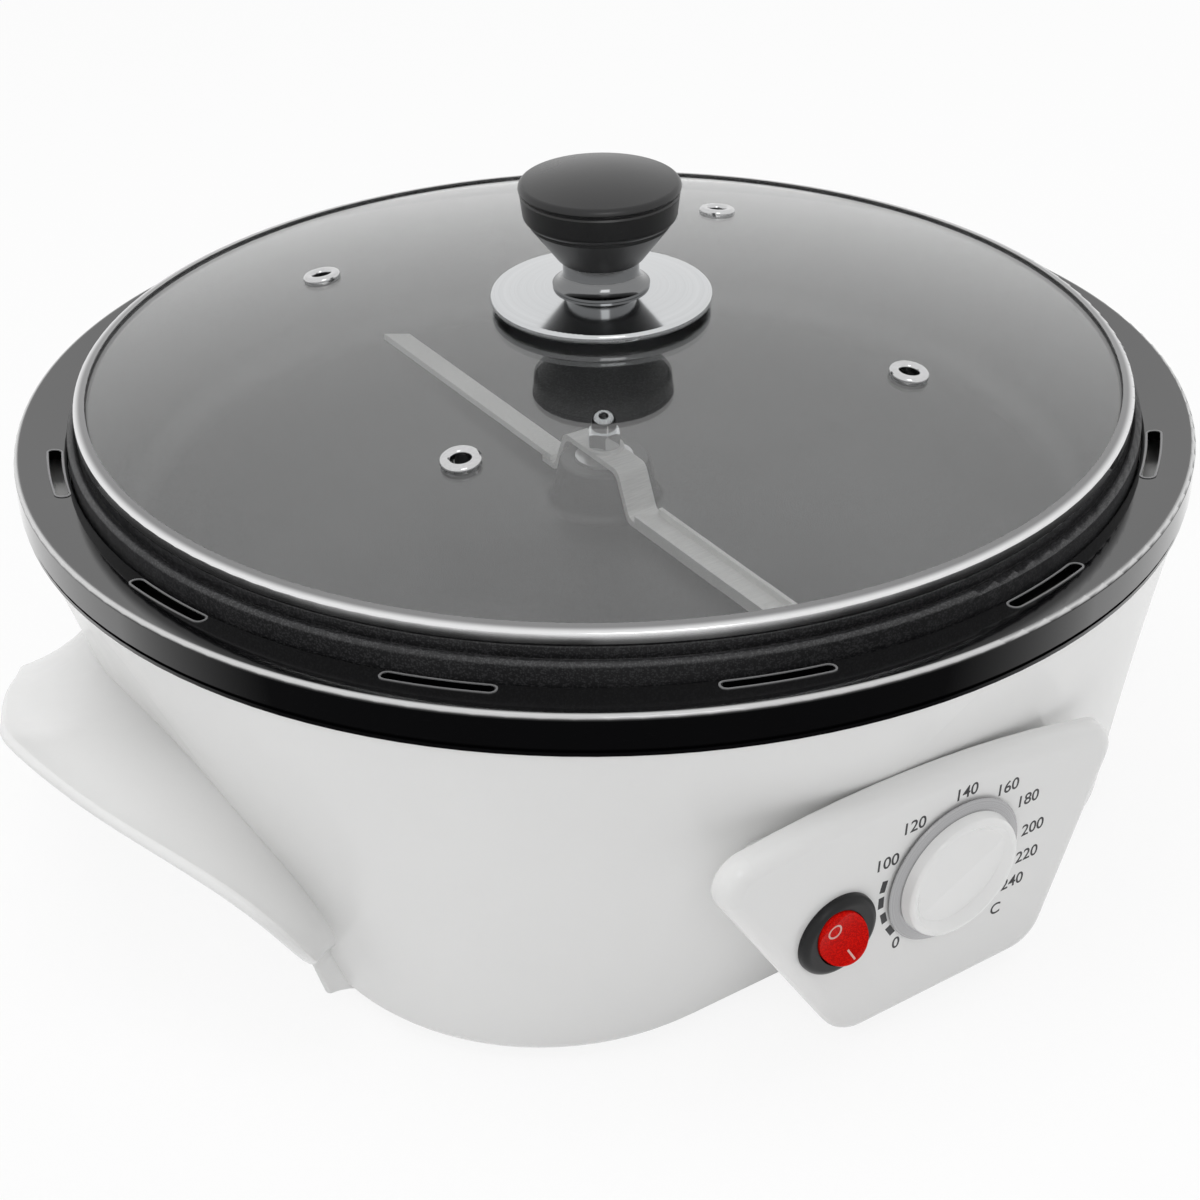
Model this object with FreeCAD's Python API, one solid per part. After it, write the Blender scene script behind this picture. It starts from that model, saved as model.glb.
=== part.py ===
import FreeCAD
import Part
import math
import os

# Countertop coffee bean roaster, in millimetres.
# Shapes are drawn with z = 0 at the trim ring's top edge and the pan's axis on Z.
# save() lifts them by RIM_Z, so that the feet stand on z = 0. The control panel faces -Y.

V = FreeCAD.Vector
ORIGIN = V(0, 0, 0)
UP = V(0, 0, 1)

# --- driving dimensions -------------------------------------------------------------------
RIM_Z = 113.0  # trim ring's top edge above the floor
RIM_R = 157.0  # trim ring's outer radius
RING_INNER_R = 143.2
RING_FACE_DROP = 1.2  # the ring's top face falls inwards by this much
RING_BAND = 8.6  # height of the ring's side band
RING_FOOT = 10.9  # depth of the ring's lower edge
SLOT_COUNT = 12
SLOT_PHASE = 10.5  # degrees
SLOT_R = 146.3
SLOT_WIDTH = 3.2
SLOT_ARC = 10.4  # degrees from end to end

HOUSE_TOP = -11.0
HOUSE_FOOT = -110.0
HOUSE_TOP_R = 155.5
HOUSE_BASE_X = 119.5  # half width of the base
HOUSE_BASE_Y = 116.0  # half depth of the base
HOUSE_CORNER_R = 62.0  # corner radius of the base
HOUSE_SAG = 0.2  # how much the walls curve in between top and base
WALL = 2.6
FLANGE_Z = -13.5  # underside of the housing's inward top flange
FLANGE_R = 144.0

FOOT_TIP = -RIM_Z
FOOT_R = 9.0
FOOT_X = 74.0
FOOT_Y = 92.0
BOSS_X = 88.0
BOSS_Y = 84.0

PAN_LIP_R = 142.8
PAN_LIP_Z = 4.4
PAN_SEAT_Z = 6.8  # the shoulder on which the lid rests
PAN_FLOOR = -32.0
PAN_SKIN = 2.4
HUB_TOP = -19.4
HUB_TOP_R = 11.5
HUB_FOOT_R = 14.5

SHAFT_R = 4.0
THREAD_R = 2.5
PLATE_Z = -18.2  # underside of the stirrer's hub plate
STRIP = 1.6
STRIP_WIDTH = 9.0
ARM_Z = -30.4  # underside of the stirrer's arms
ARM_REACH = 121.0
STIRRER_ANGLE = -2.4  # degrees

HEATER_R = 96.0
HEATER_TUBE_R = 3.3
HEATER_Z = PAN_FLOOR - PAN_SKIN - HEATER_TUBE_R - 0.05
SHIELD_FLOOR = -56.0
SHIELD_SKIN = 0.8

MOTOR_TOP = -63.0
MOTOR_R = 30.0
MOTOR_HEIGHT = 32.0

LID_R = 140.4
LID_RIM_LOW = 7.1
LID_RIM_HIGH = 11.0
LID_RIM_SHEET = 0.6
GLASS_APEX = 28.0
GLASS_EDGE = 10.3
GLASS_EDGE_R = 139.7
GLASS = 2.4
VENT_R = 85.0
VENT_PHASE = 31.7  # degrees

PANEL_TILT = -5.0  # degrees, the face leans forward
PANEL_FOOT_Y = -144.5
PANEL_FOOT_LEFT = -31.0
PANEL_FOOT_RIGHT = 33.0
PANEL_TOP_LEFT = (-77.5, 70.0)  # corners along and up the face
PANEL_CROWN = (-10.0, 73.5)
PANEL_TOP_RIGHT = (52.0, 63.0)
PANEL_CORNER_R = 11.0  # at the foot
PANEL_TOP_CORNER_R = 8.0
PANEL_TAPER = 30.0  # the box narrows by this much towards the body, most at the top left
PANEL_PLATE = 7.0  # thickness of the panel's front rim
PANEL_ROUNDING = 4.5
PANEL_STEP = 2.5  # the box behind the rim is drawn in by this much
PANEL_CORNER_CUT = 11.0  # length cut off each side of the box's top corners
PANEL_SKIN = 3.0
PANEL_BACK = -45.0
PANEL_SKIRT = 8.0  # the box is drawn this far below the foot before trimming

KNOB_U = -2.2
KNOB_V = 42.5
KNOB_R = 17.4
KNOB_HEIGHT = 4.8
KNOB_GAP = 0.4
KNOB_CREST = 4.1  # top of the ridge in the knob's dish, above the face
KNOB_DISH = 3.0
CREST_ANGLE = -62.0  # degrees, the ridge points at the 0 mark
SKIRT_R = 20.4
SKIRT_HEIGHT = 1.6

SWITCH_U = -38.0
SWITCH_V = 39.2
SWITCH_TURN = 29.0
BEZEL_R = 11.3
BEZEL_HEIGHT = 2.6
ROCKER_LONG = 8.5
ROCKER_SHORT = 6.6
ROCKER_GAP = 0.35  # beside the rocker
ROCKER_SWING_GAP = 1.3  # at its two ends
ROCKER_PIVOT = -2.6
ROCKER_CREST = 7.0  # top of the rocker above its pivot
ROCKER_TILT = 9.0
PIVOT_R = 1.2
PIVOT_HALF = 8.4  # half length of the rocker's two pins
ROCKER_POCKET = 7.5  # depth of the rocker's pocket
BARREL_DEPTH = 12.0
BARREL_TAIL_R = 8.6

GLAND_Z = -93.0
GLAND_BORE_R = 3.6

BOSS_FOOT = -106.3
BOSS_TOP = -82.0
TIE_R = 147.0
TIE_PHASE = 25.5
GLAND_NECK_R = 8.0
GLAND_SLACK = 0.12  # between the gland's flanges and the curved wall
GLAND_DRAFT = math.tan(math.radians(1.0))  # the gland's moulded hole narrows outwards
SPINDLE_HOLE_R = 5.0
SWITCH_BODY_R = 10.4
STAT_SCREW_U = 12.0
STAT_HEAD_R = 3.0
STAT_HEAD_DEPTH = 1.2
STAT_DEPTH = 17.5

HANDLE_SHEET = 3.0
HANDLE_ROOT_DEPTH = 2.2  # the sheet's root ends inside the wall
HANDLE_SAG = 0.07  # of the sheet's width

BUSH_R = 6.2
HEATER_GAP = 40.0  # degrees between the heater's two terminals
HEATER_ELBOW = 9.0
HEATER_LEG = 14.0
SHIELD_WALL_R = 139.6
SHIELD_RIM_R = 151.0
STUD_R = 2.0
STUD_CIRCLE = 60.0
CAPILLARY_HOLE = (34.0, -75.0)
BULB_R = 3.0
BULB_LENGTH = 58.0
BULB_Y = -75.0
BRACKET_TOP = MOTOR_TOP + 2.0
BRACKET_FOOT_Y = 62.0
PLATE_TOP = -106.3
COUPLING_R = 8.5
COUPLING_LOW = -58.0
COUPLING_HIGH = -43.0
GRUB_Z = (COUPLING_LOW + 4, COUPLING_HIGH - 4)
NUT_FOOT = PLATE_Z + STRIP + 0.9
HUB_HALF = 13.2
RISER = 5.6
PLATE_THICK = 2.4
PLATE_GAP = 0.3
TONGUE_GAP = 0.5
VENT_SLOTS = 7
VENT_PITCH = 9.0
BLOCK_X = 40.0
BLOCK_Y = 84.0
BLADE_Y = (-5.0, 0.0, 5.0)
BLADE_TOP = -9.0
DISC_LOW = GLASS_APEX + 0.05
DISC_TOP = 32.9
NECK_TOP = 40.5
SCREW_R = 2.9
GLASS_UNDER = GLASS_APEX - GLASS
GASKET = 1.0
WASHER = 0.8


# --- drawing helpers ----------------------------------------------------------------------
def bend(cx, cz, radius, start_deg, end_deg):
    """An arc step about (cx, cz) for outline(), as its middle and end points."""
    middle = math.radians((start_deg + end_deg) / 2)
    end = math.radians(end_deg)
    return (
        (cx + radius * math.cos(middle), cz + radius * math.sin(middle)),
        (cx + radius * math.cos(end), cz + radius * math.sin(end)),
    )


def domed(radius, low, high):
    """An arc step from (radius, low) to the axis at high, round on top."""
    sphere = (radius ** 2 + (high - low) ** 2) / (2 * (high - low))
    return bend(0, high - sphere, sphere, math.degrees(math.acos(radius / sphere)), 90)


def outline(place, start, *steps):
    """A closed wire of lines and three-point arcs; place turns (a, b) into a vector."""
    edges = []
    here = start
    for step in steps + (start,):
        is_arc = isinstance(step[0], tuple)
        end = step[1] if is_arc else step
        if math.dist(here, end) < 1e-6:
            continue
        if is_arc:
            edges.append(Part.Arc(place(*here), place(*step[0]), place(*end)).toShape())
        else:
            edges.append(Part.makeLine(place(*here), place(*end)))
        here = end
    return Part.Wire(edges)


def turned(start, *steps):
    """A solid turned about Z from a closed outline of (radius, z) points."""
    wire = outline(lambda r, z: V(r, 0, z), start, *steps)
    return Part.Face(wire).revolve(ORIGIN, UP, 360)


def flat_plate(z, height, start, *steps):
    """An outline of (x, y) points, extruded upwards from z."""
    wire = outline(lambda x, y: V(x, y, z), start, *steps)
    return Part.Face(wire).extrude(V(0, 0, height))


def cylinder(radius, low, high, x=0.0, y=0.0):
    return Part.makeCylinder(radius, high - low, V(x, y, low))


def tube(inner, outer, low, high, x=0.0, y=0.0):
    return cylinder(outer, low, high, x, y).cut(cylinder(inner, low - 1, high + 1, x, y))


def block(x0, x1, y0, y1, z0, z1):
    return Part.makeBox(x1 - x0, y1 - y0, z1 - z0, V(x0, y0, z0))


def spun(shape, degrees, centre=ORIGIN, axis=UP):
    copy = shape.copy()
    copy.rotate(centre, axis, degrees)
    return copy


def shifted(shape, x, y, z):
    copy = shape.copy()
    copy.translate(V(x, y, z))
    return copy


def around(shape, count, phase=0.0):
    """Copies of a shape, evenly spaced about Z."""
    return [spun(shape, phase + i * 360.0 / count) for i in range(count)]


def four_corners(shape, x, y):
    return [shifted(shape, sx * x, sy * y, 0) for sx in (1, -1) for sy in (1, -1)]


def hexagon(across_flats, low, high):
    radius = across_flats / math.sqrt(3)
    points = [(radius * math.cos(i * math.pi / 3), radius * math.sin(i * math.pi / 3))
              for i in range(6)]
    return flat_plate(low, high - low, *points)


def bent_strip(points, thickness, width, bend_radius=0.0):
    """Sheet metal bent along (y, z) points, extruded width wide about x = 0."""
    offsets = []
    for i, (y, z) in enumerate(points):
        before = points[max(i - 1, 0)]
        after = points[min(i + 1, len(points) - 1)]
        normals = []
        for a, b in ((before, (y, z)), ((y, z), after)):
            length = math.dist(a, b)
            if length > 0:
                normals.append(((a[1] - b[1]) / length, (b[0] - a[0]) / length))
        ny = sum(n[0] for n in normals) / len(normals)
        nz = sum(n[1] for n in normals) / len(normals)
        scale = thickness / 2 / (ny * ny + nz * nz)
        offsets.append((ny * scale, nz * scale))
    upper = [(p[0] + o[0], p[1] + o[1]) for p, o in zip(points, offsets)]
    lower = [(p[0] - o[0], p[1] - o[1]) for p, o in zip(points, offsets)]
    wire = outline(lambda y, z: V(-width / 2, y, z), *(upper + lower[::-1]))
    strip = Part.Face(wire).extrude(V(width, 0, 0))
    if bend_radius:
        corners = [e for e in strip.Edges if is_bend(e, points[1:-1], thickness)]
        strip = strip.makeFillet(bend_radius, corners)
    return strip


def is_bend(edge, bends, thickness):
    """True for an edge across the strip at one of its bends."""
    a, b = edge.Vertexes[0].Point, edge.Vertexes[-1].Point
    if abs(a.x - b.x) < 1e-3:
        return False
    return any(math.hypot(a.y - y, a.z - z) < thickness for y, z in bends)


def screw(shank_r, length, head_r, head_height):
    """A pan-head screw with a cross recess: head on top of z = 0, shank downwards."""
    rounding = head_height * 0.6
    head = turned(
        (0, 0), (head_r, 0), (head_r, head_height - rounding),
        bend(head_r - rounding, head_height - rounding, rounding, 0, 90), (0, head_height),
    )
    slot = block(-head_r * 0.55, head_r * 0.55, -0.4, 0.4, head_height * 0.4, head_height + 1)
    head = head.cut(slot).cut(spun(slot, 90))
    tip = shank_r * 0.6
    shank = turned(
        (0, 0), (0, -length), (shank_r - tip, -length), (shank_r, -length + tip), (shank_r, 0),
    )
    return head.fuse(shank).removeSplitter()


def inverted(shape):
    return spun(shape, 180, ORIGIN, V(1, 0, 0))


def round_bar(edges, radius):
    """A round bar along edges that join end to end."""
    path = Part.Wire(Part.sortEdges(edges)[0])
    start = path.OrderedVertexes[0].Point
    towards = path.OrderedEdges[0].valueAt(path.OrderedEdges[0].FirstParameter + 1e-3) - start
    if towards.Length > 1:
        towards = path.OrderedEdges[0].valueAt(path.OrderedEdges[0].LastParameter - 1e-3) - start
    circle = Part.Wire(Part.makeCircle(radius, start, towards))
    return path.makePipeShell([circle], True, True)


def save(name, shape):
    lifted = shifted(shape, 0, 0, RIM_Z)
    lifted.exportStep(os.path.join("parts", name + ".step"))
    solids = len(lifted.Solids)
    print(f"{name:24s} solids {solids} volume {lifted.Volume / 1000:9.2f} cm3"
          f" valid {lifted.isValid()}")


# --- housing ------------------------------------------------------------------------------
def round_rect(half_x, half_y, corner, z):
    """A rounded rectangle as four lines and four arcs, in a fixed order."""
    x, y = half_x - corner, half_y - corner
    return outline(
        lambda a, b: V(a, b, z),
        (half_x, -y), (half_x, y), bend(x, y, corner, 0, 90),
        (-x, half_y), bend(-x, y, corner, 90, 180),
        (-half_x, -y), bend(-x, -y, corner, 180, 270),
        (x, -half_y), bend(x, -y, corner, 270, 360),
    )


def house_size(z):
    """Half width, half depth and corner radius of the housing at a height."""
    down = (HOUSE_TOP - z) / (HOUSE_TOP - HOUSE_FOOT)
    top_corner = HOUSE_TOP_R - 0.6
    down += HOUSE_SAG * down * (1 - down)
    return (
        HOUSE_TOP_R + (HOUSE_BASE_X - HOUSE_TOP_R) * down,
        HOUSE_TOP_R + (HOUSE_BASE_Y - HOUSE_TOP_R) * down,
        top_corner + (HOUSE_CORNER_R - top_corner) * down,
    )


def house_section(z, inset):
    """The housing's outline at a height: a circle on top grows into a rounded square."""
    half_x, half_y, corner = house_size(z)
    return round_rect(half_x - inset, half_y - inset, corner - inset, z)


def house_loft(low, high, inset):
    """Solid between two heights with gently curved walls."""
    heights = [low + (high - low) * i / 3 for i in range(4)]
    return Part.makeLoft([house_section(z, inset) for z in heights], True, False)


def wall_x(y, z):
    """The side wall's distance from the middle at a depth and a height."""
    half_x, half_y, corner = house_size(z)
    beyond = max(0.0, abs(y) - (half_y - corner))
    return half_x - corner + math.sqrt(corner ** 2 - beyond ** 2)


# Left handle from front to rear: where its sheet leaves the wall (y, z) and where its free
# edge runs (x, y, z). The right handle mirrors it.
HANDLE_STATIONS = (
    ((-58, -109.9), (-124.5, -55, -109.9)),
    ((-57.5, -93.0), (-130.8, -62, -92.3)),
    ((-55.5, -80.0), (-140.8, -70.5, -74.6)),
    ((-48, -71.0), (-149.2, -64.5, -62.6)),
    ((-36, -62.5), (-160.6, -43, -54.0)),
    ((-19, -55.0), (-170.9, -20, -47.0)),
    ((0, -53.0), (-176.3, 0, -41.6)),
    ((20, -53.5), (-171.4, 20, -48.0)),
    ((40, -54.5), (-162.8, 40, -53.8)),
    ((60, -56.5), (-152.5, 60, -62.0)),
    ((75, -63.0), (-145.0, 77, -71.3)),
    ((80, -76.0), (-139.0, 86, -82.0)),
    ((74, -95.0), (-131.0, 80, -96.0)),
    ((66, -109.9), (-124.0, 68, -109.9)),
)


def handle_section(root, edge, along):
    """One cross section of the handle's sheet."""
    inner = V(-(wall_x(*root) - HANDLE_ROOT_DEPTH), *root)
    outer = V(*edge)
    span = (outer - inner).normalize()
    below = along.cross(span).normalize()
    down = below * HANDLE_SHEET
    middle = (inner + outer) * 0.5 + below * (HANDLE_SAG * (outer - inner).Length)
    bulge = outer + down * 0.5 + span * (HANDLE_SHEET * 0.5)
    return Part.Wire([
        Part.Arc(inner, middle, outer).toShape(),
        Part.Arc(outer, bulge, outer + down).toShape(),
        Part.Arc(outer + down, middle + down, inner + down).toShape(),
        Part.makeLine(inner + down, inner),
    ])


def side_handle():
    """A flared sheet that arches along the wall and runs down to the base at both ends."""
    points = [V(*edge) for _, edge in HANDLE_STATIONS]
    last = len(points) - 1
    sections = []
    for i, (root, edge) in enumerate(HANDLE_STATIONS):
        along = points[max(i - 1, 0)] - points[min(i + 1, last)]
        sections.append(handle_section(root, edge, along))
    return Part.makeLoft(sections, True, False)


def panel_frame():
    """Placement of the panel's face: X to the right, Y up the face, Z outwards."""
    s, c = math.sin(math.radians(PANEL_TILT)), math.cos(math.radians(PANEL_TILT))
    return FreeCAD.Placement(FreeCAD.Matrix(
        1, 0, 0, 0,
        0, s, -c, PANEL_FOOT_Y,
        0, c, s, HOUSE_FOOT,
        0, 0, 0, 1,
    ))


def on_panel(shape, u=0.0, v=0.0):
    """Move a shape drawn about the local Z axis to (u, v) on the panel's face."""
    copy = shifted(shape, u, v, 0)
    copy.Placement = panel_frame().multiply(copy.Placement)
    return copy


def panel_rim():
    """The panel's front rim before its edges are rounded."""
    foot_left, foot_right = (PANEL_FOOT_LEFT, 0), (PANEL_FOOT_RIGHT, 0)
    sharp = flat_plate(-PANEL_PLATE, PANEL_PLATE, foot_left, foot_right, PANEL_TOP_RIGHT,
                       (PANEL_CROWN, PANEL_TOP_LEFT))
    uprights = [e for e in sharp.Edges if abs(e.Vertexes[0].Z - e.Vertexes[-1].Z) > 0.5]
    low = [e for e in uprights if e.Vertexes[0].Y < 1]
    high = [e for e in uprights if e.Vertexes[0].Y > 1]
    rounded = sharp.makeFillet(PANEL_CORNER_R, low)
    return rounded.makeFillet(PANEL_TOP_CORNER_R, edges_like(rounded, high))


def panel_block():
    """The raised panel: a rounded front rim and a narrower box that runs into the body."""
    rim = panel_rim()
    front = [e for e in rim.Edges if abs(e.CenterOfMass.z) < 1e-3]
    back = [e for e in rim.Edges if abs(e.CenterOfMass.z + PANEL_PLATE) < 1e-3]
    rim = rim.makeFillet(PANEL_ROUNDING, front)
    rim = rim.makeFillet(1.2, edges_like(rim, back))
    below = block(-90, 90, -200, 0, HOUSE_FOOT - 40, HOUSE_FOOT)
    return on_panel(rim).fuse(on_panel(panel_box(PANEL_STEP, -PANEL_PLATE / 2)).cut(below))


def panel_box(inset, front):
    """The box behind the rim, open downwards, which narrows towards the body."""
    sections = []
    foot_left = (panel_side(PANEL_FOOT_LEFT, PANEL_TOP_LEFT, inset), -PANEL_SKIRT)
    foot_right = (panel_side(PANEL_FOOT_RIGHT, PANEL_TOP_RIGHT, inset), -PANEL_SKIRT)
    for depth, taper in ((front, 0.0), (PANEL_BACK, PANEL_TAPER)):
        right = (PANEL_TOP_RIGHT[0] - 1.3 * inset - 0.2 * taper, PANEL_TOP_RIGHT[1] - inset - 0.2 * taper)
        crown = (PANEL_CROWN[0], PANEL_CROWN[1] - inset - 0.3 * taper)
        left = (PANEL_TOP_LEFT[0] + 1.5 * inset + taper, PANEL_TOP_LEFT[1] - inset - 0.6 * taper)
        sections.append(outline(
            lambda u, v: V(u, v, depth),
            foot_left, foot_right, towards(right, foot_right), towards(right, crown), crown,
            towards(left, crown), towards(left, foot_left),
        ))
    return Part.makeLoft(sections, True, True)


def towards(corner, other):
    """The point on the way from a corner to another one at which the corner is cut off."""
    start, end = V(*corner), V(*other)
    point = start + (end - start).normalize() * PANEL_CORNER_CUT
    return (point.x, point.y)


def panel_side(foot, top, inset):
    """Where a side of the panel's outline, drawn in, meets the level just below its foot."""
    run = (top[0] - foot) / top[1]
    inwards = -inset if foot > 0 else inset
    return foot - run * PANEL_SKIRT + inwards * math.hypot(1, run)


def edges_like(shape, wanted):
    """The edges of a shape whose middles lie on those of the wanted ones."""
    return [e for e in shape.Edges
            if any((e.CenterOfMass - w.CenterOfMass).Length < 1e-3 for w in wanted)]


def panel_cavity():
    """The hollow behind the panel's face, open to the body and to below."""
    return on_panel(panel_box(PANEL_STEP + WALL, -PANEL_SKIN))


def housing_shell():
    chamfer_z = HOUSE_FOOT + 2.0
    body = house_loft(chamfer_z, HOUSE_TOP, 0.0)
    chamfer = Part.makeLoft([house_section(HOUSE_FOOT, 1.4), house_section(chamfer_z, 0.0)], True, True)
    body = body.fuse(chamfer)
    handle = side_handle()
    shell = body.fuse([handle, handle.mirror(ORIGIN, V(1, 0, 0)), panel_block()])
    inside = house_loft(HOUSE_FOOT - 1, FLANGE_Z, WALL)
    shell = shell.cut([inside, cylinder(FLANGE_R, FLANGE_Z - 1, 0), panel_cavity()])
    bosses = [corner_boss(sx * BOSS_X, sy * BOSS_Y) for sx in (1, -1) for sy in (1, -1)]
    shell = shell.fuse([boss.common(body) for boss in bosses])
    holes = four_corners(cylinder(1.7, BOSS_FOOT - 1, BOSS_FOOT + 16), BOSS_X, BOSS_Y)
    holes += around(cylinder(2.2, FLANGE_Z - 1, HOUSE_TOP + 1, TIE_R, 0), 4, TIE_PHASE)
    wide, narrow = GLAND_NECK_R + 10 * GLAND_DRAFT, GLAND_NECK_R - 10 * GLAND_DRAFT
    holes.append(gland_place(turned((0, -10), (wide, -10), (narrow, 10), (0, 10))))
    holes.append(on_panel(cylinder(SPINDLE_HOLE_R, -8, 8), KNOB_U, KNOB_V))
    holes.append(on_panel(cylinder(SWITCH_BODY_R, -13, 8), SWITCH_U, SWITCH_V))
    stepped = cylinder(1.7, -8, 0).fuse(cylinder(STAT_HEAD_R + 0.2, -STAT_HEAD_DEPTH, 8))
    holes += [on_panel(stepped, KNOB_U + s * STAT_SCREW_U, KNOB_V) for s in (1, -1)]
    return shell.cut(holes).removeSplitter()


def corner_boss(x, y):
    """A screw boss with a rib that runs out into the wall."""
    post = cylinder(5.5, BOSS_FOOT, BOSS_TOP, x, y)
    rib = block(0, 40, -1.2, 1.2, BOSS_FOOT, BOSS_TOP)
    rib = shifted(spun(rib, math.degrees(math.atan2(y, x))), x, y, 0)
    return post.fuse(rib)


def trim_ring():
    """Black ring: rounded outer edge, a face that falls inwards, and a turned-down lip."""
    inner_z = -RING_FACE_DROP
    profile = turned(
        (RIM_R, -RING_BAND), (RIM_R, -1.2), bend(RIM_R - 1.2, -1.2, 1.2, 0, 90),
        (RING_INNER_R + 1, inner_z), bend(RING_INNER_R + 1, inner_z - 1, 1.0, 90, 180),
        (RING_INNER_R, -9.0), (RING_INNER_R + 1.3, -9.0), (RING_INNER_R + 1.3, inner_z - 2.2),
        (RIM_R - 2.0, -2.4), (RIM_R - 2.0, -RING_FOOT),
        (RIM_R - 0.4, -RING_FOOT), (RIM_R - 0.4, -RING_FOOT + 1.0), (RIM_R - 1.0, -RING_FOOT + 1.2),
        (RIM_R - 1.0, -RING_BAND - 0.3),
    )
    bosses = around(cylinder(3.2, HOUSE_TOP + 0.1, -2.0, TIE_R, 0), 4, TIE_PHASE)
    ring = profile.fuse(bosses)
    pilots = around(cylinder(1.6, HOUSE_TOP - 1, -3.6, TIE_R, 0), 4, TIE_PHASE)
    slots = around(ring_slot(), SLOT_COUNT, SLOT_PHASE)
    return ring.cut(pilots + slots).removeSplitter()


def ring_slot():
    """A slot bent along the ring, centred on the X axis."""
    half = SLOT_ARC / 2
    sector = tube(SLOT_R - SLOT_WIDTH / 2, SLOT_R + SLOT_WIDTH / 2, -8, 2)
    wedge = flat_plate(
        -8, 10, (0, 0),
        (200 * math.cos(math.radians(half)), -200 * math.sin(math.radians(half))),
        (200 * math.cos(math.radians(half)), 200 * math.sin(math.radians(half))),
    )
    slot = sector.common(wedge)
    uprights = [e for e in slot.Edges
                if abs(e.Vertexes[0].X - e.Vertexes[-1].X) < 1e-3
                and abs(e.Vertexes[0].Y - e.Vertexes[-1].Y) < 1e-3
                and abs(e.Vertexes[0].Z - e.Vertexes[-1].Z) > 1]
    return slot.makeFillet(1.4, uprights)


# --- pan and heater -----------------------------------------------------------------------
def pan():
    """Spun pan: outer bead, groove, lid seat, wall, floor and a raised hub."""
    seat_in, seat_out = 136.6, 139.2
    return turned(
        (PAN_LIP_R, FLANGE_Z), (PAN_LIP_R, PAN_LIP_Z - 1.3),
        bend(PAN_LIP_R - 1.3, PAN_LIP_Z - 1.3, 1.3, 0, 180),
        (140.2, 3.2), (139.4, 3.0), (seat_out, 3.4), (seat_out, PAN_SEAT_Z - 0.6),
        bend(seat_out - 0.6, PAN_SEAT_Z - 0.6, 0.6, 0, 90),
        (seat_in + 0.6, PAN_SEAT_Z), bend(seat_in + 0.6, PAN_SEAT_Z - 0.6, 0.6, 90, 180),
        (134.5, -22.0), bend(124.5, -22.0, 10.0, 0, -90),
        (HUB_FOOT_R + 3, PAN_FLOOR), bend(HUB_FOOT_R + 3, PAN_FLOOR + 3, 3.0, 270, 190),
        (HUB_TOP_R + 1, HUB_TOP - 1), bend(HUB_TOP_R, HUB_TOP - 1, 1.0, 0, 90),
        (BUSH_R, HUB_TOP), (BUSH_R, PAN_FLOOR - PAN_SKIN),
        (124.5, PAN_FLOOR - PAN_SKIN), bend(124.5, -22.0, 12.4, -90, 0),
        (138.6, 1.0), (141.2, 1.0), (141.2, FLANGE_Z),
    )


def shaft_bush():
    return turned(
        (SHAFT_R + 0.05, PLATE_Z - 0.4), (BUSH_R + 1.8, PLATE_Z - 0.4), (BUSH_R + 1.8, HUB_TOP),
        (BUSH_R, HUB_TOP), (BUSH_R, PAN_FLOOR - PAN_SKIN), (SHAFT_R + 0.05, PAN_FLOOR - PAN_SKIN),
    )


def rounded_path(points, radius):
    """Edges of straight runs between points, joined by tangent arcs."""
    edges = []
    here = points[0]
    for before, corner, after in zip(points, points[1:], points[2:]):
        back, on = (before - corner).normalize(), (after - corner).normalize()
        half = (back.getAngle(on)) / 2
        start = corner + back * (radius / math.tan(half))
        end = corner + on * (radius / math.tan(half))
        centre = corner + (back + on).normalize() * (radius / math.sin(half))
        middle = centre - (back + on).normalize() * radius
        edges += [Part.makeLine(here, start), Part.Arc(start, middle, end).toShape()]
        here = end
    return edges + [Part.makeLine(here, points[-1])]


def heating_element():
    """A one-turn sheathed heater under the pan with both ends bent downwards."""
    half = math.radians(HEATER_GAP / 2)
    ends = [V(HEATER_R * math.sin(s * half), HEATER_R * math.cos(half), HEATER_Z) for s in (1, -1)]
    ring = Part.Arc(ends[0], V(0, -HEATER_R, HEATER_Z), ends[1]).toShape()
    path = [ring]
    for end, side in zip(ends, (1, -1)):
        away = V(-side * math.cos(half), math.sin(half), 0)
        turn = math.radians(45)
        middle = end + away * (HEATER_ELBOW * math.sin(turn)) \
            - UP * (HEATER_ELBOW * (1 - math.cos(turn)))
        low = end + away * HEATER_ELBOW - UP * HEATER_ELBOW
        elbow = Part.Arc(end, middle, low).toShape()
        leg = Part.makeLine(low, low - UP * HEATER_LEG)
        path += [elbow, leg]
    return round_bar(path, HEATER_TUBE_R)


def heater_clamps():
    """Three saddles that hold the heater to the pan's underside."""
    inner = HEATER_TUBE_R + 0.1
    outer = inner + 1.0
    under = PAN_FLOOR - PAN_SKIN
    saddle = outline(
        lambda r, z: V(HEATER_R + r, -5, z),
        (-outer - 7, under), (-inner, under), (-inner, HEATER_Z),
        ((0, HEATER_Z - inner), (inner, HEATER_Z)), (inner, under), (outer + 7, under),
        (outer + 7, under - 1), (outer, under - 1), (outer, HEATER_Z),
        ((0, HEATER_Z - outer), (-outer, HEATER_Z)), (-outer, under - 1), (-outer - 7, under - 1),
    )
    piece = Part.Face(saddle).extrude(V(0, 10, 0))
    return Part.makeCompound([spun(piece, a) for a in (-30, 210, -90)])


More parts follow.
